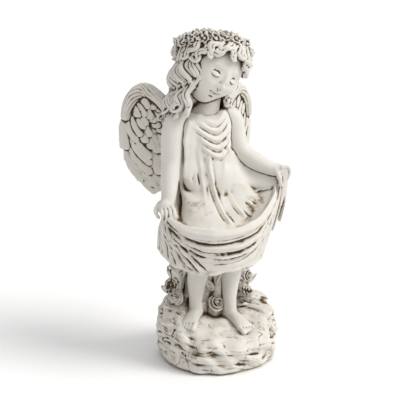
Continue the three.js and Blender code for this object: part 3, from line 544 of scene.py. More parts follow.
RIM = compass([
    (-180, 33, 226), (-130, 34, 226), (-108, 35, 228), (-95, 40, 226), (-82, 56, 213), (-70, 66, 203),
    (-55, 74, 196), (-35, 80, 190.5), (-15, 83.5, 188.5), (5, 84.4, 190), (25, 84, 197), (42, 84, 208),
    (55, 87, 219), (64, 84, 226), (76, 66, 231), (90, 46, 234), (105, 36, 232), (130, 34, 228),
])
HEM = compass([
    (-180, 51, 141), (-130, 52, 142), (-100, 60, 145), (-82, 66, 147), (-65, 69, 140), (-45, 72, 134),
    (-27, 72, 129.5), (-10, 72, 131), (10, 72, 133), (30, 72, 134), (48, 71, 135), (60, 68, 137),
    (75, 60, 140), (95, 54, 141), (130, 52, 141),
])
# The torso's half width, half depth and height, below the neckline.
TORSO = [(34, 22, 304), (33, 25, 285), (32, 25, 262), (32, 26, 244)]
# The swags: share of the way down, and how far out.
SWAGS = [(0.18, 3.5), (0.34, 1), (0.41, -4), (0.53, 2.5), (0.65, 0), (0.7, -5), (0.79, 0), (0.88, -4.5)]
# The folds at the chest: height at both ends, lowest height, and where the lowest place is in degrees.
COWL = [(320, 304, 4), (314, 295, 7), (303, 284, 10), (292, 273.5, 13), (281, 263, 17)]


def swag_reach(degrees):
    off = np.minimum(1, np.abs(degrees + 8) / 74)
    return 0.1 + 0.72 * np.sqrt(np.maximum(0, 1 - off * off))


def oval(degrees, a, b):
    t = np.radians(degrees - CHEST_YAW)
    return a * b / np.hypot(b * np.sin(t), a * np.cos(t))


def on_body(degrees, r, z):
    a = np.radians(degrees)
    return np.stack(np.broadcast_arrays(BODY[0] + r * np.sin(a), BODY[1] - r * np.cos(a), z), -1)


def dress_grid(columns=520, rows_wanted=430):
    """The dress as rings of points around the body, from the neck down to the inside of the hem."""
    deg = -180 + 360 * np.arange(columns) / columns
    rim_r, rim_z = RIM(deg)
    hem_r, hem_z = HEM(deg)
    pouch = smooth(rim_r, 35, 70)
    drape = 9 * bell(deg + 62, 13)
    rows = [(oval(deg, 27, 16), 317 - 5 * smooth(np.cos(np.radians(deg)), 0.2, 1))]
    for i, (a, b, z) in enumerate(TORSO):
        rows.append((oval(deg, a, b) + drape * (0.7 + 0.1 * i), z - 4 * pouch * (i > 2)))
    rows.append((oval(deg, 33, 27), mix(242, 222, pouch)))
    rows.append((oval(deg, 34, 28) + 5 * pouch, rim_z + 2 + 16 * pouch))
    rows.append((mix(oval(deg, 34, 29), rim_r - 22, pouch), rim_z + 1 - 10 * pouch))
    rows.append((mix(oval(deg, 35, 30), rim_r - 5, pouch), rim_z - 5 * pouch))
    edge = np.maximum(rim_r, oval(deg, 36, 31))
    rows.append((edge, rim_z))
    reach = swag_reach(deg)
    for share, out in SWAGS:
        down = share * reach
        full = 4 * down * (1 - down) * 4 * pouch
        rows.append((mix(edge, hem_r, down) + 0.6 * out * pouch * reach + full, mix(rim_z, hem_z, down)))
    for share in (0.35, 0.7, 1):
        down = mix(reach, 1, share)
        rows.append((mix(edge, hem_r, down) + (1 - share) * 2, mix(rim_z, hem_z, down)))
    rows.append((hem_r - 5, hem_z + 0.5))
    rows.append((hem_r * 0.7, hem_z + 6))
    keys = np.stack([on_body(deg, r, z) for r, z in rows])
    g = spline(keys, 26 * len(rows))
    run = np.concatenate([[0], np.cumsum(np.linalg.norm(np.diff(g, axis=0), axis=-1).mean(1))])
    at = np.interp(np.linspace(0, run[-1], rows_wanted), run, np.arange(len(g)))
    i = np.minimum(at.astype(int), len(g) - 2)
    return deg, g[i] + (g[i + 1] - g[i]) * (at - i)[:, None, None], at / len(g)


def grid_normals(g):
    down = np.gradient(g, axis=0)
    across = np.roll(g, -1, axis=1) - np.roll(g, 1, axis=1)
    return unit(np.cross(across, down)) * -1


def body_line(keys, steps=40):
    """A line laid on the dress: keys are degrees, radius and height."""
    s = spline(keys, steps)
    return on_body(s[:, 0], s[:, 1], s[:, 2])


# Folds that run down from the shoulders into the lap: [places on the dress], width and height.
FLOWS = [
    ([(-58, 33, 312), (-62, 39, 288), (-63, 41, 260), (-65, 43, 234), (-68, 50, 214)], 3.6, 3),
    ([(-34, 24, 296), (-42, 27, 275), (-38, 27, 250), (-30, 29, 226), (-22, 44, 200),
      (-20, 66, 190)], 3.2, 2.2),
    ([(-50, 28, 270), (-48, 30, 246), (-44, 36, 222), (-42, 52, 202), (-42, 66, 193)], 2.6, 1.8),
    ([(-14, 25, 268), (-16, 26, 252), (-8, 27, 235), (2, 29, 212), (7, 46, 192), (9, 66, 184)], 3.4, 2.8),
    ([(32, 25, 275), (30, 26, 252), (22, 28, 230), (14, 31, 208), (12, 42, 196)], 3.2, 2.2),
    ([(48, 28, 296), (46, 29, 268), (40, 30, 244), (34, 33, 218), (30, 50, 198), (28, 68, 190)], 3.2, 2.4),
    ([(60, 30, 262), (56, 31, 240), (50, 36, 220), (46, 54, 206), (44, 70, 204)], 2.8, 2),
]

# Rolls and creases of the swags, as degrees and share of the swags' reach: [places], width, height.
CREASES = [
    ([(-74, 0.12), (-50, 0.13), (-20, 0.14), (10, 0.15), (40, 0.13), (60, 0.1)], 4.6, 2.2),
    ([(-70, 0.22), (-44, 0.29), (-14, 0.31), (18, 0.30), (48, 0.22)], 2.2, -1.5),
    ([(-66, 0.30), (-40, 0.37), (-8, 0.40), (25, 0.38), (54, 0.28)], 2.6, -2.2),
    ([(-52, 0.50), (-25, 0.62), (0, 0.69), (28, 0.63), (50, 0.48)], 2.6, -2.6),
    ([(-40, 0.68), (-12, 0.84), (12, 0.88), (38, 0.74)], 2.4, -2.2),
    ([(-60, 0.40), (-40, 0.50), (-18, 0.53), (2, 0.53)], 1.7, -1.3),
    ([(-46, 0.60), (-30, 0.72), (-12, 0.76)], 1.7, -1.2),
    ([(14, 0.55), (36, 0.50), (55, 0.36)], 1.7, -1.1), ([(-20, 0.96), (8, 1.0), (34, 0.92)], 2.0, -1.2),
    ([(-30, 0.25), (0, 0.28), (30, 0.24)], 2.4, -0.8),
    ([(-48, 0.45), (-20, 0.50), (10, 0.52), (40, 0.46)], 3.0, 1.4),
    ([(-40, 0.60), (-10, 0.77), (16, 0.78), (42, 0.62)], 3.0, 1.5),
]

# Folds that run down from the hands over the swags, as degrees and share of the way to the hem.
DIAGONALS = [
    ([(-77, 0.10), (-66, 0.34), (-50, 0.62), (-34, 0.97)], 3.4, 3.4),
    ([(-72, 0.10), (-60, 0.32), (-42, 0.62), (-27, 0.98)], 3.0, 3.2),
    ([(-74, 0.10), (-63, 0.33), (-46, 0.62), (-30, 0.97)], 1.5, -1.8),
    ([(-69, 0.14), (-55, 0.36), (-37, 0.64), (-21, 0.97)], 2.0, -2.0),
    ([(-79, 0.15), (-71, 0.4), (-59, 0.68), (-46, 0.97)], 3.0, 2.8),
    ([(-80, 0.2), (-73, 0.45), (-63, 0.7), (-53, 0.97)], 1.7, -1.6),
    ([(60, 0.15), (50, 0.45), (36, 0.97)], 3.0, 2.2), ([(58, 0.2), (45, 0.5), (28, 0.95)], 1.8, -1.3),
]


def raise_line(g, n, line, width, height):
    """The grid of points with a roll (or a crease, below 0) along a line, faded at both ends."""
    w, along = stroke(g.reshape(-1, 3), line, width)
    fade = smooth(along, 0, 0.1) * smooth(1 - along, 0, 0.14)
    return g + n * (w * fade * height).reshape(g.shape[:2])[..., None]


def dress():
    """The whole dress: its grid with the cowl, folds, swags and pleats raised on it."""
    deg, g, row = dress_grid()
    n = grid_normals(g)
    z = g[..., 2]
    for i, (top, bottom, turn) in enumerate(COWL):
        u = (deg - turn)[None, :] / (70 - 3 * i)
        line = z - mix(bottom, top, np.sqrt(u * u + 0.02) ** 1.55 - 0.05)
        fade = smooth(1.05 - np.abs(u), 0, 0.35) * (1 - 0.3 * u * u) * (z > 240)
        size = (3.6, 3.0, 3.3, 2.9, 2.6)[i]
        out = fade * (size * bell(line, 3.5) - 0.8 * bell(line + 5.0, 2.6))
        g = g + n * out[..., None]
    for keys, width, height in FLOWS:
        line = body_line(keys)
        g = raise_line(g, n, line, width, height)
        g = raise_line(g, n, line + [1.6 * width, 0, 0], 1.7, -1.1)
        g = raise_line(g, n, line - [1.6 * width, 0, 0], 1.7, -1.1)
    rim_r, rim_z = RIM(deg)
    hem_r, hem_z = HEM(deg)
    reach = swag_reach(deg)
    below = np.clip((rim_z[None, :] - z) / (rim_z - hem_z)[None, :], 0, 1)
    first, last = np.searchsorted(row, (0.44, 0.93))
    shell = below[first:last] / reach[None, :]

    def over_skirt(keys, by_reach=True):
        """A line laid on the outside of the skirt: keys are degrees and the share of the way down."""
        s = spline([[d, 100 * b, 0.0] for d, b in keys], 50)
        line = []
        for d, b, _ in s:
            c = int(round((d + 180) / 360 * len(deg))) % len(deg)
            down = shell[:, c] if by_reach else below[first:last, c]
            line.append(g[first + int(np.argmin(np.abs(down - b / 100))), c])
        return np.array(line)

    for keys, width, height in CREASES:
        g = raise_line(g, n, over_skirt(keys), width, height)
    for keys, width, height in DIAGONALS:
        g = raise_line(g, n, over_skirt(keys, False), width, height)
    around = np.radians(deg)[None, :]
    back = smooth(np.abs(deg), 95, 125)[None, :]
    wave = np.sin(13 * around + 1.5 * np.sin(z / 26)) + 0.6 * np.sin(23 * around + 1)
    g = g + n * (back * smooth(240 - z, 0, 50) * 2.4 * wave)[..., None]
    soft = noise(g, (16, 16, 11), 1) * 0.9 + noise(g, 7, 2) * 0.35
    g = g + n * soft[..., None]
    edge = bell(below - 1, 0.05) * (row < 0.93)[:, None]
    g = g + n * (edge * (1.1 + 0.8 * np.sin(17 * around)))[..., None]
    return skin(g)


def pleat(hand, degrees, out, size):
    """A fold that hangs between a hand and a place on the hem."""
    r, z = (float(v) for v in HEM(np.array(float(degrees))))
    foot = on_body(degrees, r - 1.5, z + 2.5)
    top = np.array(hand, float)
    mid = (top + foot) / 2 + [0, 0, 3]
    away = unit(mid - [BODY[0], BODY[1], mid[2]])
    mid = mid + away * out
    keys = [[*(top - [0, 0, 6]), 2.2 * size, 2.2 * size], [*mid, 3.7 * size, 3.7 * size],
            [*foot, 4.6 * size, 3.8 * size]]
    return tube(keys, sides=24, steps=40, bulge=0.2)


def web():
    """The cloth that is drawn up from the left hip to the left hand, with rolls along it."""
    top = spline([[8, -8, 268], [24, -1, 263], [38, -6, 249], [53, -18, 239], [71, -30, 234]], 70)
    low = spline([[-4, -20, 230], [20, -20, 219], [40, -23, 215], [56, -32, 218], [73, -36, 227]], 70)
    u = np.linspace(0, 1, 71)[:, None]
    v = np.linspace(0, 1, 50)[None, :]
    at = top[:, None] + (low - top)[:, None] * v[..., None]
    sag = np.stack([0.25 + 0 * u, -0.75 + 0 * u, -0.6 + 0 * u], -1)
    full = 5 * np.sin(np.pi * v) * np.sin(np.pi * np.clip(u, 0.05, 1))
    rolls = 1.7 * np.cos(2 * np.pi * (1.9 * v - 0.35 * u)) * np.sin(np.pi * np.clip(0.1 + 0.85 * u, 0, 1))
    front = at + sag * (full + rolls - 1)[..., None]
    return sheet(front, front - sag * 5)


def cascade():
    """The cloth that hangs from the left hand, fanned in folds whose ends step down towards the skirt."""
    u = np.linspace(0, 1, 90)[:, None]
    v = np.linspace(0, 1, 90)[None, :]
    top = mix(np.array([69, -37, 238.0]), np.array([79, -32, 238.0]), u[..., None])
    fan = np.cos(2 * np.pi * (3 * u + 0.2))
    z = mix(150, 182, u) - 4 * fan
    low = np.stack([mix(44, 75, u), mix(-33, -30, u), z], -1)
    at = top + (low - top) * v[..., None]
    wave = fan * mix(1.4, 3.4, v) + 0.7 * np.cos(2 * np.pi * (7 * u + 0.4 * v)) * v
    at = at + wave[..., None] * np.array([-0.35, -0.93, 0])
    at = at + np.array([3, -2, 0]) * np.sin(np.pi * v)[..., None]
    return sheet(at, at + np.array([2.0, 7.0, 0]))


def arms():
    """Both arms, from the shoulder to the wrist."""
    right = [[-46, 3, 311, 10, 10], [-55, 2, 303, 13.2, 12.8], [-59, 2, 280, 13.5, 13.4],
             [-60, 2, 258, 12.3, 12.5], [-65, -4, 236, 10.9, 11.4], [-69, -10, 218, 8.9, 9.5],
             [-73, -14, 209, 8.4, 7.4]]
    left = [[18, 14, 311, 10, 10], [26, 12, 303, 12.4, 12.9], [30, 9, 282, 12, 12.5],
            [35, 3, 263, 11.5, 12], [48, -11, 251, 10.5, 11], [61, -22, 244, 8.7, 9.1],
            [67, -27, 241, 8.1, 7.5]]
    return [tube(right, sides=48, steps=80), tube(left, side=(0.4, 0.9, 0), sides=48, steps=80)]


def finger(points, r):
    """A finger through its joints, a little fuller between them."""
    keys = [[*p, r * (1 - 0.09 * i)] for i, p in enumerate(points)]
    s = spline(keys, 24)
    t = np.linspace(0, 1, 25)
    s[:, 3] *= 1 + 0.07 * np.cos(4 * np.pi * t)
    return tube(s, side=(0.3, 1, 0), sides=18, steps=24, bulge=0.95)


def hands():
    """Palms, fingers and thumbs, each with the width of the blend to what it grows from."""
    made = [(ball([-76, -15.5, 206], [9, 6.6, 9.4], rot("Z", -20) @ rot("X", 12)), 4.0)]
    for i in range(4):
        x, y = -82 + i * 4.25, -16 - i * 2.6
        end = (193.5, 190.5, 189.5, 192)[i]
        joints = [[x + 1 - 0.5 * i, y + 1.5, 208], [x, y - 4, 204], [x - 0.5, y - 6.6, 198],
                  [x, y - 4.4, end]]
        made.append((finger(joints, 2.5 - 0.15 * (i == 0)), 0.8))
    thumb = [[-80, -9, 211], [-86, -11, 205], [-87, -13.5, 200], [-85, -16, 195]]
    made.append((finger(thumb, 2.9), 1.4))
    made.append((ball([70.5, -30, 242.5], [9, 7.2, 7.2], rot("Z", -35) @ rot("Y", 16)), 4.0))
    for i in range(4):
        x, y, z = 73 + 0.5 * i, -37 + 4.3 * i, 247 - 1.0 * i
        joints = [[x - 2, y + 1, z - 1], [x + 5.5, y - 0.6, z - 0.6], [x + 8.6, y - 0.8, z - 7],
                  [x + 6.6, y - 0.8, z - 14.5]]
        made.append((finger(joints, 2.5), 0.6))
    thumb = [[65, -31, 243], [66.5, -36, 237], [68, -38, 230.5], [69, -38.2, 224.5]]
    made.append((finger(thumb, 3.4), 2.0))
    return made


def body():
    """The dress with the cloth at both hands, and the neck, arms and hands that come out of it."""
    block = (-96, -82, 124), (92, 62, 326), 0.7
    clay = Clay(*block)
    clay.add(dress())
    for d, o, s in [(-88, 2, 1), (-79, 1.5, 0.7), (-70, 2.2, 1), (-60, 1.8, 0.75), (-50, 2, 0.95),
                    (-40, 1.5, 0.7)]:
        clay.add(pleat(HANDS["right"], d, o, s), 2.5)
    for d, o, s in [(38, 2, 0.7), (46, 3, 1), (55, 3, 0.8), (63, 2.5, 0.8)]:
        clay.add(pleat(HANDS["left"], d, o, s), 2.5)
    clay.add(web(), 4)
    clay.add(ball((4, -11.2, 226), (18, 10.8, 27), rot("Z", 6)), 6)
    clay.add(cascade(), 2.5)
    held = [[76, -34, 243, 5, 4.4], [76, -33, 232, 5.6, 5], [73, -31, 216, 6.5, 5.5], [69, -29, 200, 6.5, 5]]
    clay.add(tube(held, side=(0.9, -0.4, 0)), 3)
    fleshy = Clay(*block)
    for limb, soft in [(m, 1) for m in arms()] + hands():
        fleshy.add(limb, soft)
    points, quads, tris = neck()
    inset = points - 0.5 * unit(points - [-9, 6, 315])
    fleshy.add((inset, quads, tris), 0.8)
    clay.d = np.minimum(clay.d, fleshy.d)
    return clay


# ---- Wings --------------------

WINGS = dict(
    right=dict(root=(-18.0, 27.0), tip=(-90.0, 78.0), rise=0.0),
    left=dict(root=(2.0, 27.0), tip=(79.4, 75.6), rise=-6.0),
)
SPAN = 92.0
ARM = [
    (2, 284, 8), (18, 300, 8.5), (42, 328, 8.6), (60, 337, 9), (75, 331, 8.6), (86, 318, 7.8), (92, 303, 6.2),
]


def on_wing(w, s, z, lift):
    """A place on a wing: how far out from the shoulder, how high, and how far off its middle sheet."""
    t = s / SPAN
    dx, dy = w["tip"][0] - w["root"][0], w["tip"][1] - w["root"][1]
    length = math.hypot(dx, dy)
    bow = 7 * np.sin(np.pi * np.clip(t, 0, 1))
    nx, ny = -dy / length * np.sign(dx), abs(dx) / length
    x = w["root"][0] + dx * t - nx * (bow + lift)
    y = w["root"][1] + dy * t + ny * (bow + lift)
    return np.stack(np.broadcast_arrays(x, y, z + w["rise"]), -1)


# The feathers in wing places (s, z): start, middle and tip, then width and how high the feather lies.
# The long ones follow the outer edge like the layers of an onion. The small ones lie over them as scales.
FEATHERS = [
    ((92, 284), (88, 246), (66, 221), 11, 0.0), ((84, 262), (66, 224), (45, 206), 11, 0.3),
    ((78, 250), (62, 231), (48, 215), 10, 1.8), ((72, 250), (56, 226), (42, 208), 10, 0.4),
    ((58, 250), (46, 228), (36, 209), 10, 1.4), ((46, 250), (39, 230), (31, 212), 10, 0.6),
    ((34, 252), (30, 235), (25, 219), 10, 1.2), ((24, 262), (21, 246), (19, 232), 10, 0.5),
    ((14, 270), (14, 256), (14, 245), 9, 1.2),
    ((95, 308), (96, 284), (93, 261), 9, 2.9), ((93, 284), (82, 255), (54, 231), 10, 3.0),
    ((89, 280), (76, 260), (56, 243), 9, 5.3), ((52, 266), (48, 247), (44, 230), 12, 3.4),
    ((43, 264), (40, 246), (36, 230), 12, 3.0), ((34, 260), (31, 243), (29, 228), 11, 3.4),
    ((25, 262), (23, 247), (22, 235), 11, 2.9), ((91, 309), (90, 287), (77, 271), 9, 5.9),
    ((86, 304), (83, 290), (75, 279), 8, 8.4), ((82, 276), (71, 262), (59, 252), 10, 7.4),
    ((66, 284), (60, 274), (54, 263), 11, 6.8), ((57, 292), (52, 274), (47, 258), 12, 5.9),
    ((47, 288), (43, 273), (39, 257), 12, 5.4), ((38, 285), (34, 269), (30, 253), 12, 5.1),
    ((28, 281), (25, 265), (23, 250), 12, 4.9), ((18, 279), (16, 265), (15, 253), 11, 4.6),
    ((75, 290), (71, 280), (65, 271), 9, 9.0), ((70, 299), (66, 288), (60, 279), 11, 9.0),
    ((86, 319), (83, 312), (80, 303), 8, 9.6), ((80, 304), (76, 296), (71, 289), 8, 10.2),
    ((76, 309), (72, 301), (68, 293), 9, 10.9), ((57, 306), (53, 298), (50, 290), 10, 8.7),
    ((50, 300), (46, 292), (43, 284), 10, 8.2), ((43, 296), (39, 287), (36, 279), 10, 7.8),
    ((36, 292), (32, 283), (29, 275), 10, 7.4), ((28, 288), (25, 279), (22, 271), 10, 6.9),
    ((79, 321), (75, 312), (71, 304), 9, 11.6), ((70, 318), (66, 310), (62, 301), 10, 11.4),
    ((62, 312), (59, 305), (56, 297), 9, 10.8), ((55, 315), (51, 307), (49, 299), 9, 11.1),
    ((47, 309), (43, 301), (41, 293), 9, 10.6), ((39, 304), (35, 296), (33, 288), 9, 9.9),
    ((31, 298), (27, 290), (25, 282), 9, 9.2), ((74, 329), (71, 323), (68, 314), 8, 12.6),
    ((66, 330), (62, 323), (58, 313), 9, 12.6), ((57, 326), (53, 319), (50, 310), 9, 12.3),
    ((48, 320), (44, 312), (42, 303), 9, 11.6),
]


def feather(w, face_way, start, middle, tip, width, lift, seed):
    """A feather with round edges: sunk at its root and highest at its tip."""
    across = np.sin(np.linspace(-1, 1, 21) * np.pi / 2)
    u, v = np.meshgrid(np.sin(np.linspace(0, 1, 70) * np.pi / 2), across, indexing="ij")
    line = spline([[*start, 0.0], [*middle, 0.0], [*tip, 0.0]], 200)
    s, z = (np.interp(u, np.linspace(0, 1, 201), line[:, c]) for c in (0, 1))
    ds, dz = (np.interp(u, np.linspace(0, 1, 201), np.gradient(line[:, c])) for c in (0, 1))
    size = np.hypot(ds, dz)
    length = np.linalg.norm(np.diff(line, axis=0), axis=1).sum()
    blunt = min(0.4, 0.6 * width / length)
    end = np.sqrt(np.clip(1 - np.clip((u - 1 + blunt) / blunt, 0, 1) ** 2.2, 0, 1))
    half = width / 2 * (0.5 + 0.5 * smooth(u, 0, 0.4)) * np.maximum(end, 0.02)
    s, z = s - dz / size * v * half, z + ds / size * v * half
    barb = np.sin(2 * np.pi * (u * length / 3.2 - 1.2 * np.abs(v)))
    barb = barb * smooth(1 - np.abs(v), 0, 0.4) * smooth(np.abs(v), 0.1, 0.3)
    lie = lift * 1.1 + (0.7, -0.5, 0.1)[seed % 3] - 4.6 * (1 - u) ** 2 + 0.8 * smooth(u, 0.6, 1)
    camber = (1 - np.abs(v) ** 2.6) * (0.3 + 0.7 * end)
    top = lie - 0.9 + 1.9 * camber + 0.45 * bell(v, 0.12) * end + 0.3 * barb * end
    return sheet(on_wing(w, s, z, face_way * np.maximum(top, 0.2)), on_wing(w, s, z, -face_way * 1.0))


def wing_core(w):
    """The flat inside of a wing, under its feathers."""
    u, v = np.meshgrid(np.linspace(0, 1, 50), np.linspace(0, 1, 40), indexing="ij")
    low = [(6, 284), (15, 259), (24, 236), (35, 216), (52, 214), (70, 229), (85, 250), (90, 280)]
    high = [(6, 286), (18, 300), (30, 313), (42, 326), (58, 333), (74, 327), (84, 311), (90, 284)]
    edge, arm = (spline([[*p, 0.0] for p in keys], 49) for keys in (low, high))
    s, z = mix(arm[:, :1], edge[:, :1], v), mix(arm[:, 1:2], edge[:, 1:2], v)
    thick = mix(7.5, 1.6, v**0.8) * np.sqrt(np.sin(np.pi * np.clip(u, 0.08, 0.92)))
    return sheet(on_wing(w, s, z, thick), on_wing(w, s, z, -thick))


def wing_ribs(t, a):
    return 1 + 0.045 * np.sin(11 * a + 4 * np.sin(4 * t)) * smooth(t, 0.15, 0.5)


def wing(side, low, high):
    w = WINGS[side]
    clay = Clay(low, high, 0.625)
    clay.add(wing_core(w))
    front = -1 if side == "right" else 1
    for face_way in (front, -front):
        for i, keys in enumerate(FEATHERS):
            clay.add(feather(w, face_way, *keys, i))
    line = spline([[*on_wing(w, s, z, 0.0), r] for s, z, r in ARM], 60)
    clay.add(tube(line, sides=90, steps=90, rib=wing_ribs), 1.0)
    return clay


# ---- Legs, mound and what grows on it --------------------

# How high the edge of the mound's top is at each place of the compass. The radius in the middle isn't used.
SHOULDER = compass([
    (-180, 1, 80), (-95, 1, 76), (-68, 1, 60), (-35, 1, 50), (0, 1, 44), (30, 1, 45),
    (60, 1, 56), (95, 1, 70),
])
PROFILE = [(0.9, 0), (0.97, 0.1), (1, 0.3), (1, 0.52), (0.97, 0.76), (0.87, 0.93), (0.62, 1), (0.3, 1)]


def rock_noise(x, y, z):
    broad = np.sin(x * 0.11 + 1.3) * np.cos(y * 0.13 + z * 0.07)
    middle = 0.6 * np.sin(x * 0.21 - y * 0.17 + z * 0.19 + 2)
    return broad + middle + 0.4 * np.cos(x * 0.05 + y * 0.31 - z * 0.27)


def mound():
    a = np.linspace(0, 360, 420, endpoint=False)
    s = spline([[share, rise, 0.0] for share, rise in PROFILE] + [[0.03, 1, 0]], 150)[:, :2]
    share, rise = s[:, :1], np.clip(s[:, 1:], 0, 1.02)
    x = MOUND["radius"] * share * np.sin(np.radians(a))
    y = -MOUND["radius"] * 0.96 * share * np.cos(np.radians(a))
    top = mix(MOUND["top"], SHOULDER(a)[1][None, :], smooth(share, 0.1, 0.75))
    bump = 1.6 * rock_noise(x, y, rise * 50) * smooth(rise, 0, 0.1)
    z = rise * top + bump * 0.7 * smooth(rise, 0.1, 0.3)
    return skin(np.stack([x * (1 + bump / 60), y * (1 + bump / 60), z], -1))


def foot(ankle, toe, sole, outward):
    """A bare foot from the ankle to the ball under the toes: `sole` is the ground's height at both."""
    dirn = unit(np.array([toe[0] - ankle[0], toe[1] - ankle[1], 0.0]))
    across = np.array([-dirn[1], dirn[0], 0]) * outward
    heel = np.array([*ankle, 0]) - dirn * 6
    pad = np.array([*toe, 0]) - dirn * 5
    keys = [[heel[0], heel[1], sole[0] + 7, 8, 8],
            [*((heel + pad) / 2)[:2], (sole[0] + sole[1]) / 2 + 7, 8.5, 8],
            [pad[0], pad[1], sole[1] + 4.5, 10.8, 4.8]]
    made = [(tube(keys, side=across, sides=40, steps=40, bulge=0.7), 4.0)]
    for i in range(5):
        off = -8.5 + i * 4.3 + (0.8 if i else 0)
        r = 2.55 - 0.2 * i if i else 3.5
        reach = (9 if i else 10) - 1.3 * max(0, i - 1)
        base = pad + across * off
        tip = base + dirn * reach
        keys = [[*base[:2], sole[1] + 5.2, r], [*mix(base, tip, 0.45)[:2], sole[1] + 4.4, r * 0.94],
                [*mix(base, tip, 0.8)[:2], sole[1] + 2.9, r * 1.04], [*tip[:2], sole[1] + 1.7, r * 0.92]]
        made.append((tube(keys, side=across, sides=20, steps=20, bulge=0.95), 0.5))
        nail = mix(base, tip, 0.97) + [0, 0, sole[1] + 1.9 + r * 0.72]
        tilt = facing(unit(dirn * 0.5 + [0, 0, 1]))
        made.append((ball(nail, [r * 0.62, r * 0.55, 0.5], tilt, wide=12, high=8), 0.15))
    return made


def rose(at, normal, r, seed):
    """An open rose: three rings of thick cupped petals round a bud."""
    u = np.linspace(0, 1, 14)[:, None]
    v = np.linspace(-1, 1, 17)[None, :]
    made = [(ball((0, 0, 0.25 * r), (0.3 * r, 0.3 * r, 0.34 * r), wide=20, high=12), 0.5)]
    rings = [(6, 1.0, 0.62, 0.18), (5, 0.68, 0.52, 0.5), (3, 0.4, 0.36, 0.66)]
    for ring, (count, long, wide, rise) in enumerate(rings):
        for i in range(count):
            half = r * wide * (0.35 + 0.65 * np.sin(np.pi * (0.12 + 0.6 * u)))
            half = half * np.sqrt(1 - (0.96 * u) ** 6)
            x = r * long * u * (1 - 0.05 * v**2)
            y = half * v
            z = r * (rise * u**1.4 + 0.16 * v**2 * u + 0.1 * ring)
            front = np.stack(np.broadcast_arrays(x, y, z), -1)
            spin = 360 * (i + 0.5 * ring) / count + 40 * seed + 9 * math.sin(5 * i + seed)
            made.append((moved(sheet(front, front - [0, 0, 0.2 * r]), (0, 0, 0), rot("Z", spin)), 0.3))
    turned = facing(unit(np.array(normal, float)), 0)
    return [(moved(m, at, turned), soft) for m, soft in made]


STEMS = [
    [[-49, 18, 128, 7, 6], [-49, 17, 115, 10, 10], [-47, 16, 103, 9, 9], [-50, 16, 84, 8, 9],
     [-54, 14, 62, 12, 11]],
    [[4, 10, 124, 5, 6], [4, 6, 108, 7, 7], [4, 5, 95, 6, 7], [2, 6, 76, 7, 9], [0, 6, 56, 11, 10]],
    [[44, 12, 126, 6, 8], [43, 12, 108, 9, 8], [40, 12, 92, 8, 9], [43, 12, 76, 9, 9], [45, 8, 58, 14, 11]],
]
STUMP = [
    [-6, 26, 40, 46, 22], [-6, 25, 62, 42, 20], [-6, 24, 85, 36, 17], [-6, 22, 110, 34, 16],
    [-6, 20, 145, 34, 18],
]
# Roses as [place], [the way it looks] and radius.
ROSES = [
    ([-57, 12, 98], [-0.8, -0.8, 0.2], 9), ([-55, 5, 82], [-0.6, -0.8, 0.4], 10),
    ([-2, -2, 69], [0, -0.8, 0.6], 11), ([45, 4, 98], [0.4, -0.9, 0.2], 8),
    ([44, 3, 78], [0.4, -0.8, 0.4], 8),
]
# Leaves as [place], [the way the tip points], [the way the face looks], length and width.
LEAVES = [
    ([-20, 1, 59], [-0.9, -0.4, 0.2], [0, -0.6, 0.8], 15, 9),
    ([8, -4, 60], [0.9, -0.5, 0.1], [0, -0.6, 0.8], 15, 9),
    ([30, 3, 62], [0.5, -0.8, 0.2], [0.2, -0.3, 0.9], 15, 10),
    ([-48, -2, 64], [-0.7, -0.6, 0.3], [-0.2, -0.5, 0.8], 15, 9),
    ([46, 4, 108], [0.5, -0.1, 0.9], [0.5, -0.8, 0], 15, 8),
    ([38, 4, 88], [-0.5, -0.2, 0.8], [-0.2, -0.9, 0.1], 14, 8),
    ([3, 0, 84], [0.1, -0.1, 1], [0.1, -1, 0.1], 30, 11),
    ([-4, 3, 84], [-0.5, 0, 0.9], [-0.5, -0.9, 0.1], 22, 9),
    ([9, 4, 82], [0.5, 0.1, 0.9], [0.6, -0.8, 0.1], 22, 9),
    ([-56, 11, 106], [-0.3, 0, 1], [-0.7, -0.7, 0.1], 20, 11),
    ([-48, 8, 104], [0.4, 0, 0.9], [-0.1, -1, 0.1], 18, 9),
    ([-61, 14, 84], [-0.5, 0.1, 0.9], [-0.9, -0.4, 0.2], 17, 9),
    ([-63, 2, 74], [-0.8, -0.3, 0.3], [-0.3, -0.6, 0.7], 14, 8),
    ([48, 5, 86], [0.6, 0, 0.8], [0.6, -0.8, 0.1], 18, 9),
    ([41, 6, 104], [-0.2, 0.1, 1], [-0.1, -1, 0], 20, 9),
    ([55, -8, 74], [0.6, -0.5, -0.3], [0.5, -0.5, 0.8], 15, 9),
    ([14, 0, 66], [0.6, -0.5, 0.5], [0.2, -0.8, 0.5], 13, 8),
    ([-14, 1, 66], [-0.6, -0.4, 0.5], [-0.2, -0.8, 0.5], 13, 8),
]
# The middles of the feet, as x and y.
STANDING = [(-44, -20), (18, -32)]
LEGS = [
    [[-26, -3, 150, 15, 15], [-27, -5, 122, 14, 14.5], [-31, -6, 101, 11.5, 12], [-32, -6, 84, 8.6, 9.2],
     [-32, -6, 66, 8.3, 8.8]],
    [[13, -3, 150, 15, 15], [18, -6, 118, 12.8, 14], [16, -6, 98, 11, 11.5], [14, -8, 78, 8.8, 9.2],
     [14, -9, 58, 8.3, 8.8]],
]


def bark_ribs(t, a):
    return 1 + 0.035 * np.sin(17 * a + 3 * t) + 0.02 * np.sin(31 * a - 7 * t)


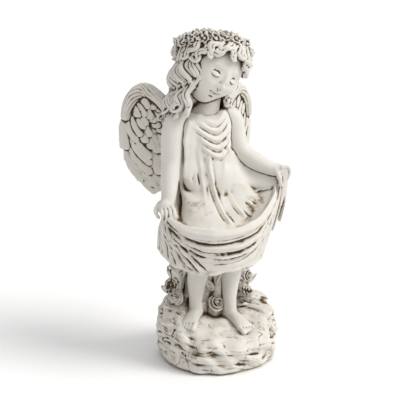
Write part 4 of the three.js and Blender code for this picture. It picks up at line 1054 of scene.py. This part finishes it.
def base():
    """The mound with its stump, stems, roses and leaves, before the rock and bark are carved."""
    clay = Clay((-82, -79, -1.4), (82, 79, 152), 0.75)
    clay.add(mound())
    clay.add(tube(spline(STUMP, 80), sides=160, steps=80, rib=bark_ribs), 3)
    for stem in STEMS:
        clay.add(tube(stem, sides=60, steps=50, rib=lambda t, a: 1 + 0.06 * np.sin(6 * a + 9 * t)), 1.5)
    clay.add(ball([55, 2, 66], [18, 15, 11], rot("Z", 20) @ rot("Y", 18), wide=60, high=36), 3)
    for i, (at, normal, r) in enumerate(ROSES):
        for m, soft in rose(at, normal, r * 1.05, i):
            clay.add(m, soft)
    for at, along, face_way, long, wide in LEAVES:
        x = unit(np.array(along, float))
        z = unit(np.array(face_way, float) - x * (x @ np.array(face_way, float)))
        clay.add(moved(leaf(long, wide, 0.25, 2.4), at, np.stack([x, np.cross(z, x), z], 1)), 0.4)
    return clay


def carved(points, quads):
    """Ledges, cracks and chips in the rock, and the furrows of the bark. The underside stays flat."""
    n = normals(points, quads)
    p = points
    slope = 0.16 * p[:, 0] + 6 * noise(p, (40, 40, 60), 7)
    q = p + np.stack([4 * noise(p, 22, 5), 4 * noise(p, 22, 6), slope], -1)
    strata = noise(q, (34, 34, 6.5), 1)
    chisel = noise(q, (15, 15, 3.0), 2)
    broken = smooth(noise(p, 13, 8), -0.15, 0.35)
    cracks = smooth(1 - np.abs(noise(q, (14, 14, 8), 4)), 0.9, 0.995) * broken
    chips = smooth(noise(p, (5.5, 5.5, 3.6), 9), 0.3, 0.62) * smooth(noise(p, 24, 12), -0.05, 0.3)
    rocky = smooth(np.hypot(p[:, 0], p[:, 1] / 0.96), 20, 40)
    rocky = rocky * smooth(86 - p[:, 2], 0, 8) * smooth(p[:, 2], 0.5, 4)
    ledges = noise(q, (28, 28, 4.4), 15)
    out = 1.4 * strata + 1.0 * chisel + 0.8 * np.tanh(4 * ledges) - 1.1 * cracks - 0.9 * chips
    for x, y in STANDING:
        clear = smooth(np.hypot(p[:, 0] - x, p[:, 1] - y), 6, 30)
        out = out * clear - 0.8 * (1 - clear)
    bark = smooth(p[:, 2], 78, 90) * smooth(p[:, 1], -2, 14)
    knobs = 1.1 * noise(p, (8, 8, 12), 3) - 1.2 * smooth(1 - np.abs(noise(p, (5, 5, 16), 7)), 0.86, 0.99)
    points = points + n * (rocky * out + bark * knobs)[:, None]
    points[:, 2] = np.maximum(points[:, 2], 0)
    return points


def legs():
    clay = Clay((-70, -66, 38), (48, 24, 158), 0.7)
    for keys in LEGS:
        clay.add(tube(keys, sides=48, steps=70), 2)
    for m, soft in foot([-32, -6], [-53, -29], [57, 53], -1) + foot([14, -9], [20, -47], [48, 43], 1):
        clay.add(m, soft)
    return clay


# ---- From clay to pieces --------------------


def boxed(a, r):
    """The mean of a grid over boxes of 2r + 1 cells, three times over, which is nearly a bell."""
    for _ in range(3):
        for axis in range(3):
            pad = [(0, 0)] * 3
            pad[axis] = (r + 1, r)
            c = np.cumsum(np.pad(a, pad, mode="edge"), axis=axis, dtype=np.float64)
            n = a.shape[axis]
            hi = np.take(c, np.arange(2 * r + 1, 2 * r + 1 + n), axis=axis)
            a = (hi - np.take(c, np.arange(n), axis=axis)) / (2 * r + 1)
    return a


def crowding(clays, cell=2.5):
    """How full the space is within about 10 mm of each place, over all pieces together, for painted shade in
    recesses.
    """
    low = np.array([-120.0, -110.0, -22.0])
    shape = np.array([100, 90, 188])
    full = np.zeros(shape)
    for clay in clays:
        p = clay.solid()
        i = np.clip(((p - low) / cell).astype(int), 0, shape - 1)
        flat = np.ravel_multi_index(i.T, shape)
        share = np.bincount(flat, minlength=full.size).reshape(shape) * (clay.voxel / cell) ** 3
        full = np.maximum(full, np.minimum(share, 1))
    # The floor counts as full, so the painted shade also gathers low down near it.
    full[:, :, : int(-low[2] / cell)] = 1
    field = boxed(full, 2)

    def at(p):
        q = np.clip((p - low) / cell - 0.5, 0, shape - 1.01)
        i = q.astype(int)
        return between(i, q - i, lambda k: field[tuple(k.T)])

    return at


def cast(name, points, quads, crowd, faces, material, dirt_and_shade):
    """One closed piece of the casting, with what its material needs to know at each point."""
    n = normals(points, quads)
    near = relaxed(points, quads, 9)
    far = relaxed(near, quads, 50, step=0.7)
    # How deep each point lies in a small and a wider hollow, and how crowded the space in front of it is: the
    # material lays the brown wash and painted shade by these.
    depths = [((near - points) * n).sum(1), ((far - points) * n).sum(1), np.zeros(len(points))]
    hollows = relaxed(np.stack(depths, 1), quads, 3)
    facts = {
        "fine": hollows[:, 0],
        "mid": hollows[:, 1],
        "wide": crowd(points + n * 5),
        "dirt_and_shade": dirt_and_shade(points),
    }
    me = bpy.data.meshes.new(name)
    me.vertices.add(len(points))
    me.vertices.foreach_set("co", (points / 1000).ravel())
    me.loops.add(quads.size)
    me.loops.foreach_set("vertex_index", quads.ravel())
    me.polygons.add(len(quads))
    me.polygons.foreach_set("loop_start", np.arange(0, quads.size, 4))
    me.update(calc_edges=True)
    for key, values in facts.items():
        me.attributes.new(key, "FLOAT", "POINT").data.foreach_set("value", values.astype(np.float32))
    piece = bpy.data.objects.new(name, me)
    bpy.context.scene.collection.objects.link(piece)
    if 2 * len(quads) > faces:
        thin = piece.modifiers.new("thin", "DECIMATE")
        thin.ratio = faces / (2 * len(quads))
        thin.use_collapse_triangulate = True
        shape = bpy.data.meshes.new_from_object(piece.evaluated_get(bpy.context.evaluated_depsgraph_get()))
        piece.modifiers.clear()
        piece.data = shape
        bpy.data.meshes.remove(me)
        shape.name = name
    piece.data.shade_smooth()
    piece.data.materials.clear()
    piece.data.materials.append(material)
    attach(piece, "root")
    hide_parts("statue")
    return piece


# ---- Material --------------------


class Nodes:
    """Short forms for the shader nodes that the materials are made of."""

    def __init__(self, tree):
        self.tree = tree

    def add(self, kind, inputs=(), **settings):
        node = self.tree.nodes.new("ShaderNode" + kind)
        for key, value in settings.items():
            setattr(node, key, value)
        for key, value in dict(inputs).items():
            if isinstance(value, bpy.types.NodeSocket):
                self.tree.links.new(value, node.inputs[key])
            else:
                node.inputs[key].default_value = value
        return node

    def sum(self, *terms):
        total = None
        for value, share in terms:
            part = self.math("MULTIPLY", value, share)
            total = part if total is None else self.math("ADD", total, part)
        return total

    def math(self, operation, a, b):
        return self.add("Math", {0: a, 1: b}, operation=operation).outputs[0]

    def range(self, value, a, b, c=0.0, d=1.0):
        inputs = {"Value": value, "From Min": a, "From Max": b, "To Min": c, "To Max": d}
        return self.add("MapRange", inputs, interpolation_type="SMOOTHSTEP").outputs[0]

    def noise(self, where, scale, detail=4.0, rough=0.55, distort=0.0):
        inputs = {"Vector": where, "Scale": scale, "Detail": detail}
        inputs |= {"Roughness": rough, "Distortion": distort}
        return self.add("TexNoise", inputs).outputs[0]

    def mix(self, share, a, b, blend="MIX"):
        return self.add("Mix", {0: share, 6: a, 7: b}, data_type="RGBA", blend_type=blend).outputs[2]


# The ramp from bare resin: its brown steps are the antique wash, and its darkest steps are painted shade laid
# over it in creases and recesses.
BARE_RESIN = (0.71, 0.695, 0.66, 1)
DEEPEST_WASH_AND_SHADE = (0.075, 0.052, 0.033, 1)
WASH_AND_SHADE_STEPS = [(0.18, (0.62, 0.585, 0.525, 1)), (0.42, (0.40, 0.34, 0.26, 1)), (0.7, (0.165, 0.12, 0.078, 1))]


def resin(name, wash_and_shade, pits, grain=1.0):
    """Off-white cast resin with a brown wash in the hollows, darkened further there with painted shade: more
    of both where the second argument is high.
    """
    mat = bpy.data.materials.new(name)
    mat.use_nodes = True
    tree = mat.node_tree
    tree.nodes.clear()
    n = Nodes(tree)
    where = n.add("TexCoord").outputs["Object"]
    facts = [n.add("Attribute", attribute_name=a).outputs["Fac"] for a in ("fine", "mid", "wide", "dirt_and_shade")]
    fine, mid, wide, dirt_and_shade = facts
    blotch = n.noise(where, 28, 5, 0.6, 0.6)
    mottle = n.noise(where, 130, 4, 0.6, 0.3)
    speck = n.noise(where, 520, 3, 0.6)
    # The creases and hollows get the brown wash and painted shade together.
    crease = n.range(n.sum((fine, 1.0), (mottle, 0.10), (blotch, 0.08)), 0.10, 0.10 + 0.30 / wash_and_shade)
    hollow = n.range(n.sum((mid, 1.0), (mottle, 0.9), (blotch, 0.5)), 0.75, 0.8 + 1.5 / wash_and_shade)
    # Painted shade in broad recesses, where other parts and the floor crowd in.
    recess_shade = n.range(n.sum((wide, 1.0), (blotch, 0.22), (mottle, 0.12)), 0.45, 0.85)
    # Blotchy stains, together with the extra wash and painted shade given to points of the dress.
    stain_and_shade = n.range(n.sum((dirt_and_shade, 1.0), (blotch, 2.0), (mottle, 1.5), (speck, 0.5)), 2.45, 3.15)
    worn = n.range(fine, -0.06, -0.3)
    amount = n.sum((crease, 0.55 * wash_and_shade), (hollow, 0.48 * wash_and_shade), (recess_shade, 0.4 * wash_and_shade),
                   (stain_and_shade, 0.36), (worn, -0.2), (mottle, 0.08))
    spot = n.range(n.noise(where, 340, 3, 0.7, 1.5), 0.68 - 0.04 * pits, 0.74 - 0.04 * pits)
    rare = n.range(n.noise(where, 60, 2), 0.5, 0.6)
    pit = n.math("MULTIPLY", spot, rare)
    calm = n.range(dirt_and_shade, -0.2, -1.0)
    amount = n.sum((amount, 1.0), (pit, 0.5 * pits), (calm, -0.8))
    ramp = n.add("ValToRGB", {"Fac": amount})
    stops = ramp.color_ramp.elements
    stops[0].color = BARE_RESIN
    stops[1].color = DEEPEST_WASH_AND_SHADE
    for at, colour in WASH_AND_SHADE_STEPS:
        stops.new(at).color = colour
    pale = n.mix(n.range(blotch, 0.35, 0.7), (0.97, 0.955, 0.93, 1), (1, 1, 1, 1))
    tint = n.mix(1.0, ramp.outputs["Color"], pale, "MULTIPLY")
    height = n.sum((speck, 0.35 * grain), (mottle, 0.65 * grain), (pit, -1.2 * pits))
    bump = n.add("Bump", {"Strength": 0.45, "Distance": 0.0009, "Height": height})
    rough = n.range(n.sum((mottle, 0.6), (amount, 0.5)), 0.15, 0.8, 0.52, 0.8)
    inputs = {"Base Color": tint, "Roughness": rough, "Normal": bump.outputs[0], "Specular IOR Level": 0.35}
    shader = n.add("BsdfPrincipled", inputs)
    out = n.add("OutputMaterial")
    tree.links.new(shader.outputs[0], out.inputs[0])
    return mat


# ---- Camera and studio --------------------


def camera():
    """The photo's view, a little from the figure's right. CAMERA is in metres, degrees and millimetres."""
    data = bpy.data.cameras.new("camera")
    data.lens = CAMERA["lens"]
    data.shift_x = CAMERA["shift"]
    data.sensor_width = 36
    data.clip_end = 50
    cam = bpy.data.objects.new("camera", data)
    a = math.radians(CAMERA["turn"])
    cam.location = (CAMERA["away"] * math.sin(a), -CAMERA["away"] * math.cos(a), CAMERA["height"])
    cam.rotation_euler = (cam.location - Vector((0, 0, CAMERA["aim"]))).to_track_quat("Z", "Y").to_euler()
    bpy.context.scene.collection.objects.link(cam)
    bpy.context.scene.camera = cam


def studio():
    """A wide white floor, a pale surrounding light and two soft suns."""
    me = bpy.data.meshes.new("floor")
    reach = 40
    ring = [(reach * math.cos(t), reach * math.sin(t), 0) for t in np.linspace(0, 2 * np.pi, 97)[:-1]]
    me.from_pydata(ring, [], [list(range(96))])
    floor = bpy.data.objects.new("floor", me)
    bpy.context.scene.collection.objects.link(floor)
    mat = bpy.data.materials.new("floor_paper")
    mat.use_nodes = True
    n = Nodes(mat.node_tree)
    where = n.add("TexCoord").outputs["Object"]
    paper = n.mix(n.noise(where, 90, 3), (0.9, 0.9, 0.9, 1), (0.93, 0.93, 0.93, 1))
    shader = mat.node_tree.nodes["Principled BSDF"]
    mat.node_tree.links.new(paper, shader.inputs["Base Color"])
    shader.inputs["Roughness"].default_value = 0.9
    me.materials.append(mat)
    world = bpy.data.worlds.new("studio")
    world.use_nodes = True
    world.node_tree.nodes["Background"].inputs[0].default_value = (1, 1, 1, 1)
    world.node_tree.nodes["Background"].inputs[1].default_value = 0.42
    bpy.context.scene.world = world
    for name, energy, angle, colour, way in [
        ("key", 2.1, 32, (1, 0.985, 0.96), (0.62, -0.52, 0.72)),
        ("top", 1.0, 90, (1, 1, 1), (0.1, -0.1, 1)),
    ]:
        sun = bpy.data.lights.new(name, "SUN")
        sun.energy, sun.angle, sun.color = energy, math.radians(angle), colour
        lamp = bpy.data.objects.new(name, sun)
        lamp.rotation_euler = Vector(way).to_track_quat("Z", "Y").to_euler()
        bpy.context.scene.collection.objects.link(lamp)


# ---- Making --------------------


def plain(points):
    return np.zeros(len(points))


def face_clear(p):
    """The face is rubbed cleaner than the hair around it."""
    q = (p - HEAD["at"]) @ FACE_TURN
    return -smooth(-q[:, 1], 14, 24) * smooth(30 - np.abs(q[:, 0]), 0, 6) * smooth(16 - q[:, 2], 0, 8)


def basin_wash_and_shade(p):
    """Brown wash and painted shade in the lap of the skirt, on its swags and under its hem, and less of both
    on the chest.
    """
    x, y, z = p[:, 0] - BODY[0], BODY[1] - p[:, 1], p[:, 2]
    r, degrees = np.hypot(x, y), np.degrees(np.arctan2(x, y))
    rim_r, rim_z = RIM(degrees)
    ahead = np.cos(np.radians(degrees))
    inside = smooth(rim_r - r, 3, 14) * smooth(250 - z, 0, 40) * smooth(z, 184, 190)
    inside = inside * smooth(ahead, -0.1, 0.3)
    side = 0.25 * smooth(np.abs(degrees - 5), 12, 45)
    bare = smooth(z, 205, 240)
    swags = 0.34 * smooth(rim_z - z, 3, 14) * smooth(r, 44, 54) * smooth(ahead, -0.2, 0.2)
    return (0.22 + side) * inside * (1 - bare) + swags + 0.35 * smooth(137 - z, 0, 8) - 0.58 * bare


def ground_dirt(p):
    return 0.5 * smooth(120 - p[:, 2], 0, 40) + 0.12 * smooth(p[:, 2], 40, 60)


bpy.context.scene.view_settings.view_transform = "Standard"
camera()
studio()
SKIN = resin("resin_smooth", wash_and_shade=1.1, pits=0.0)
CLOTH = resin("resin_cloth", wash_and_shade=1.35, pits=0.1)
HAIR = resin("resin_hair", wash_and_shade=2.3, pits=0.0)
FEATHERY = resin("resin_feathers", wash_and_shade=2.9, pits=0.4)
ROCK = resin("resin_rock", wash_and_shade=1.15, pits=1.0, grain=1.8)

# Each piece: clay, rounds of relaxing, most triangles, material, and where more or less wash and painted
# shade go.
PIECES = {
    "head_hair_wreath": (head(), 2, 196000, HAIR, face_clear),
    "dress_and_arms": (body(), 2, 190000, CLOTH, basin_wash_and_shade),
    "wing_right": (wing("right", (-97, 14, 196), (-8, 86, 350)), 3, 194000, FEATHERY, plain),
    "wing_left": (wing("left", (-8, 14, 190), (88, 86, 344)), 3, 194000, FEATHERY, plain),
    "mound": (base(), 2, 165000, ROCK, ground_dirt),
    "legs": (legs(), 2, 40000, SKIN, plain),
}
crowd = crowding([clay for clay, *_ in PIECES.values()])
for name, (clay, rounds, faces, material, dirt_and_shade) in PIECES.items():
    points, quads = clay.skin(rounds)
    if name == "mound":
        points = carved(points, quads)
    cast(name, points, quads, crowd, faces, material, dirt_and_shade)
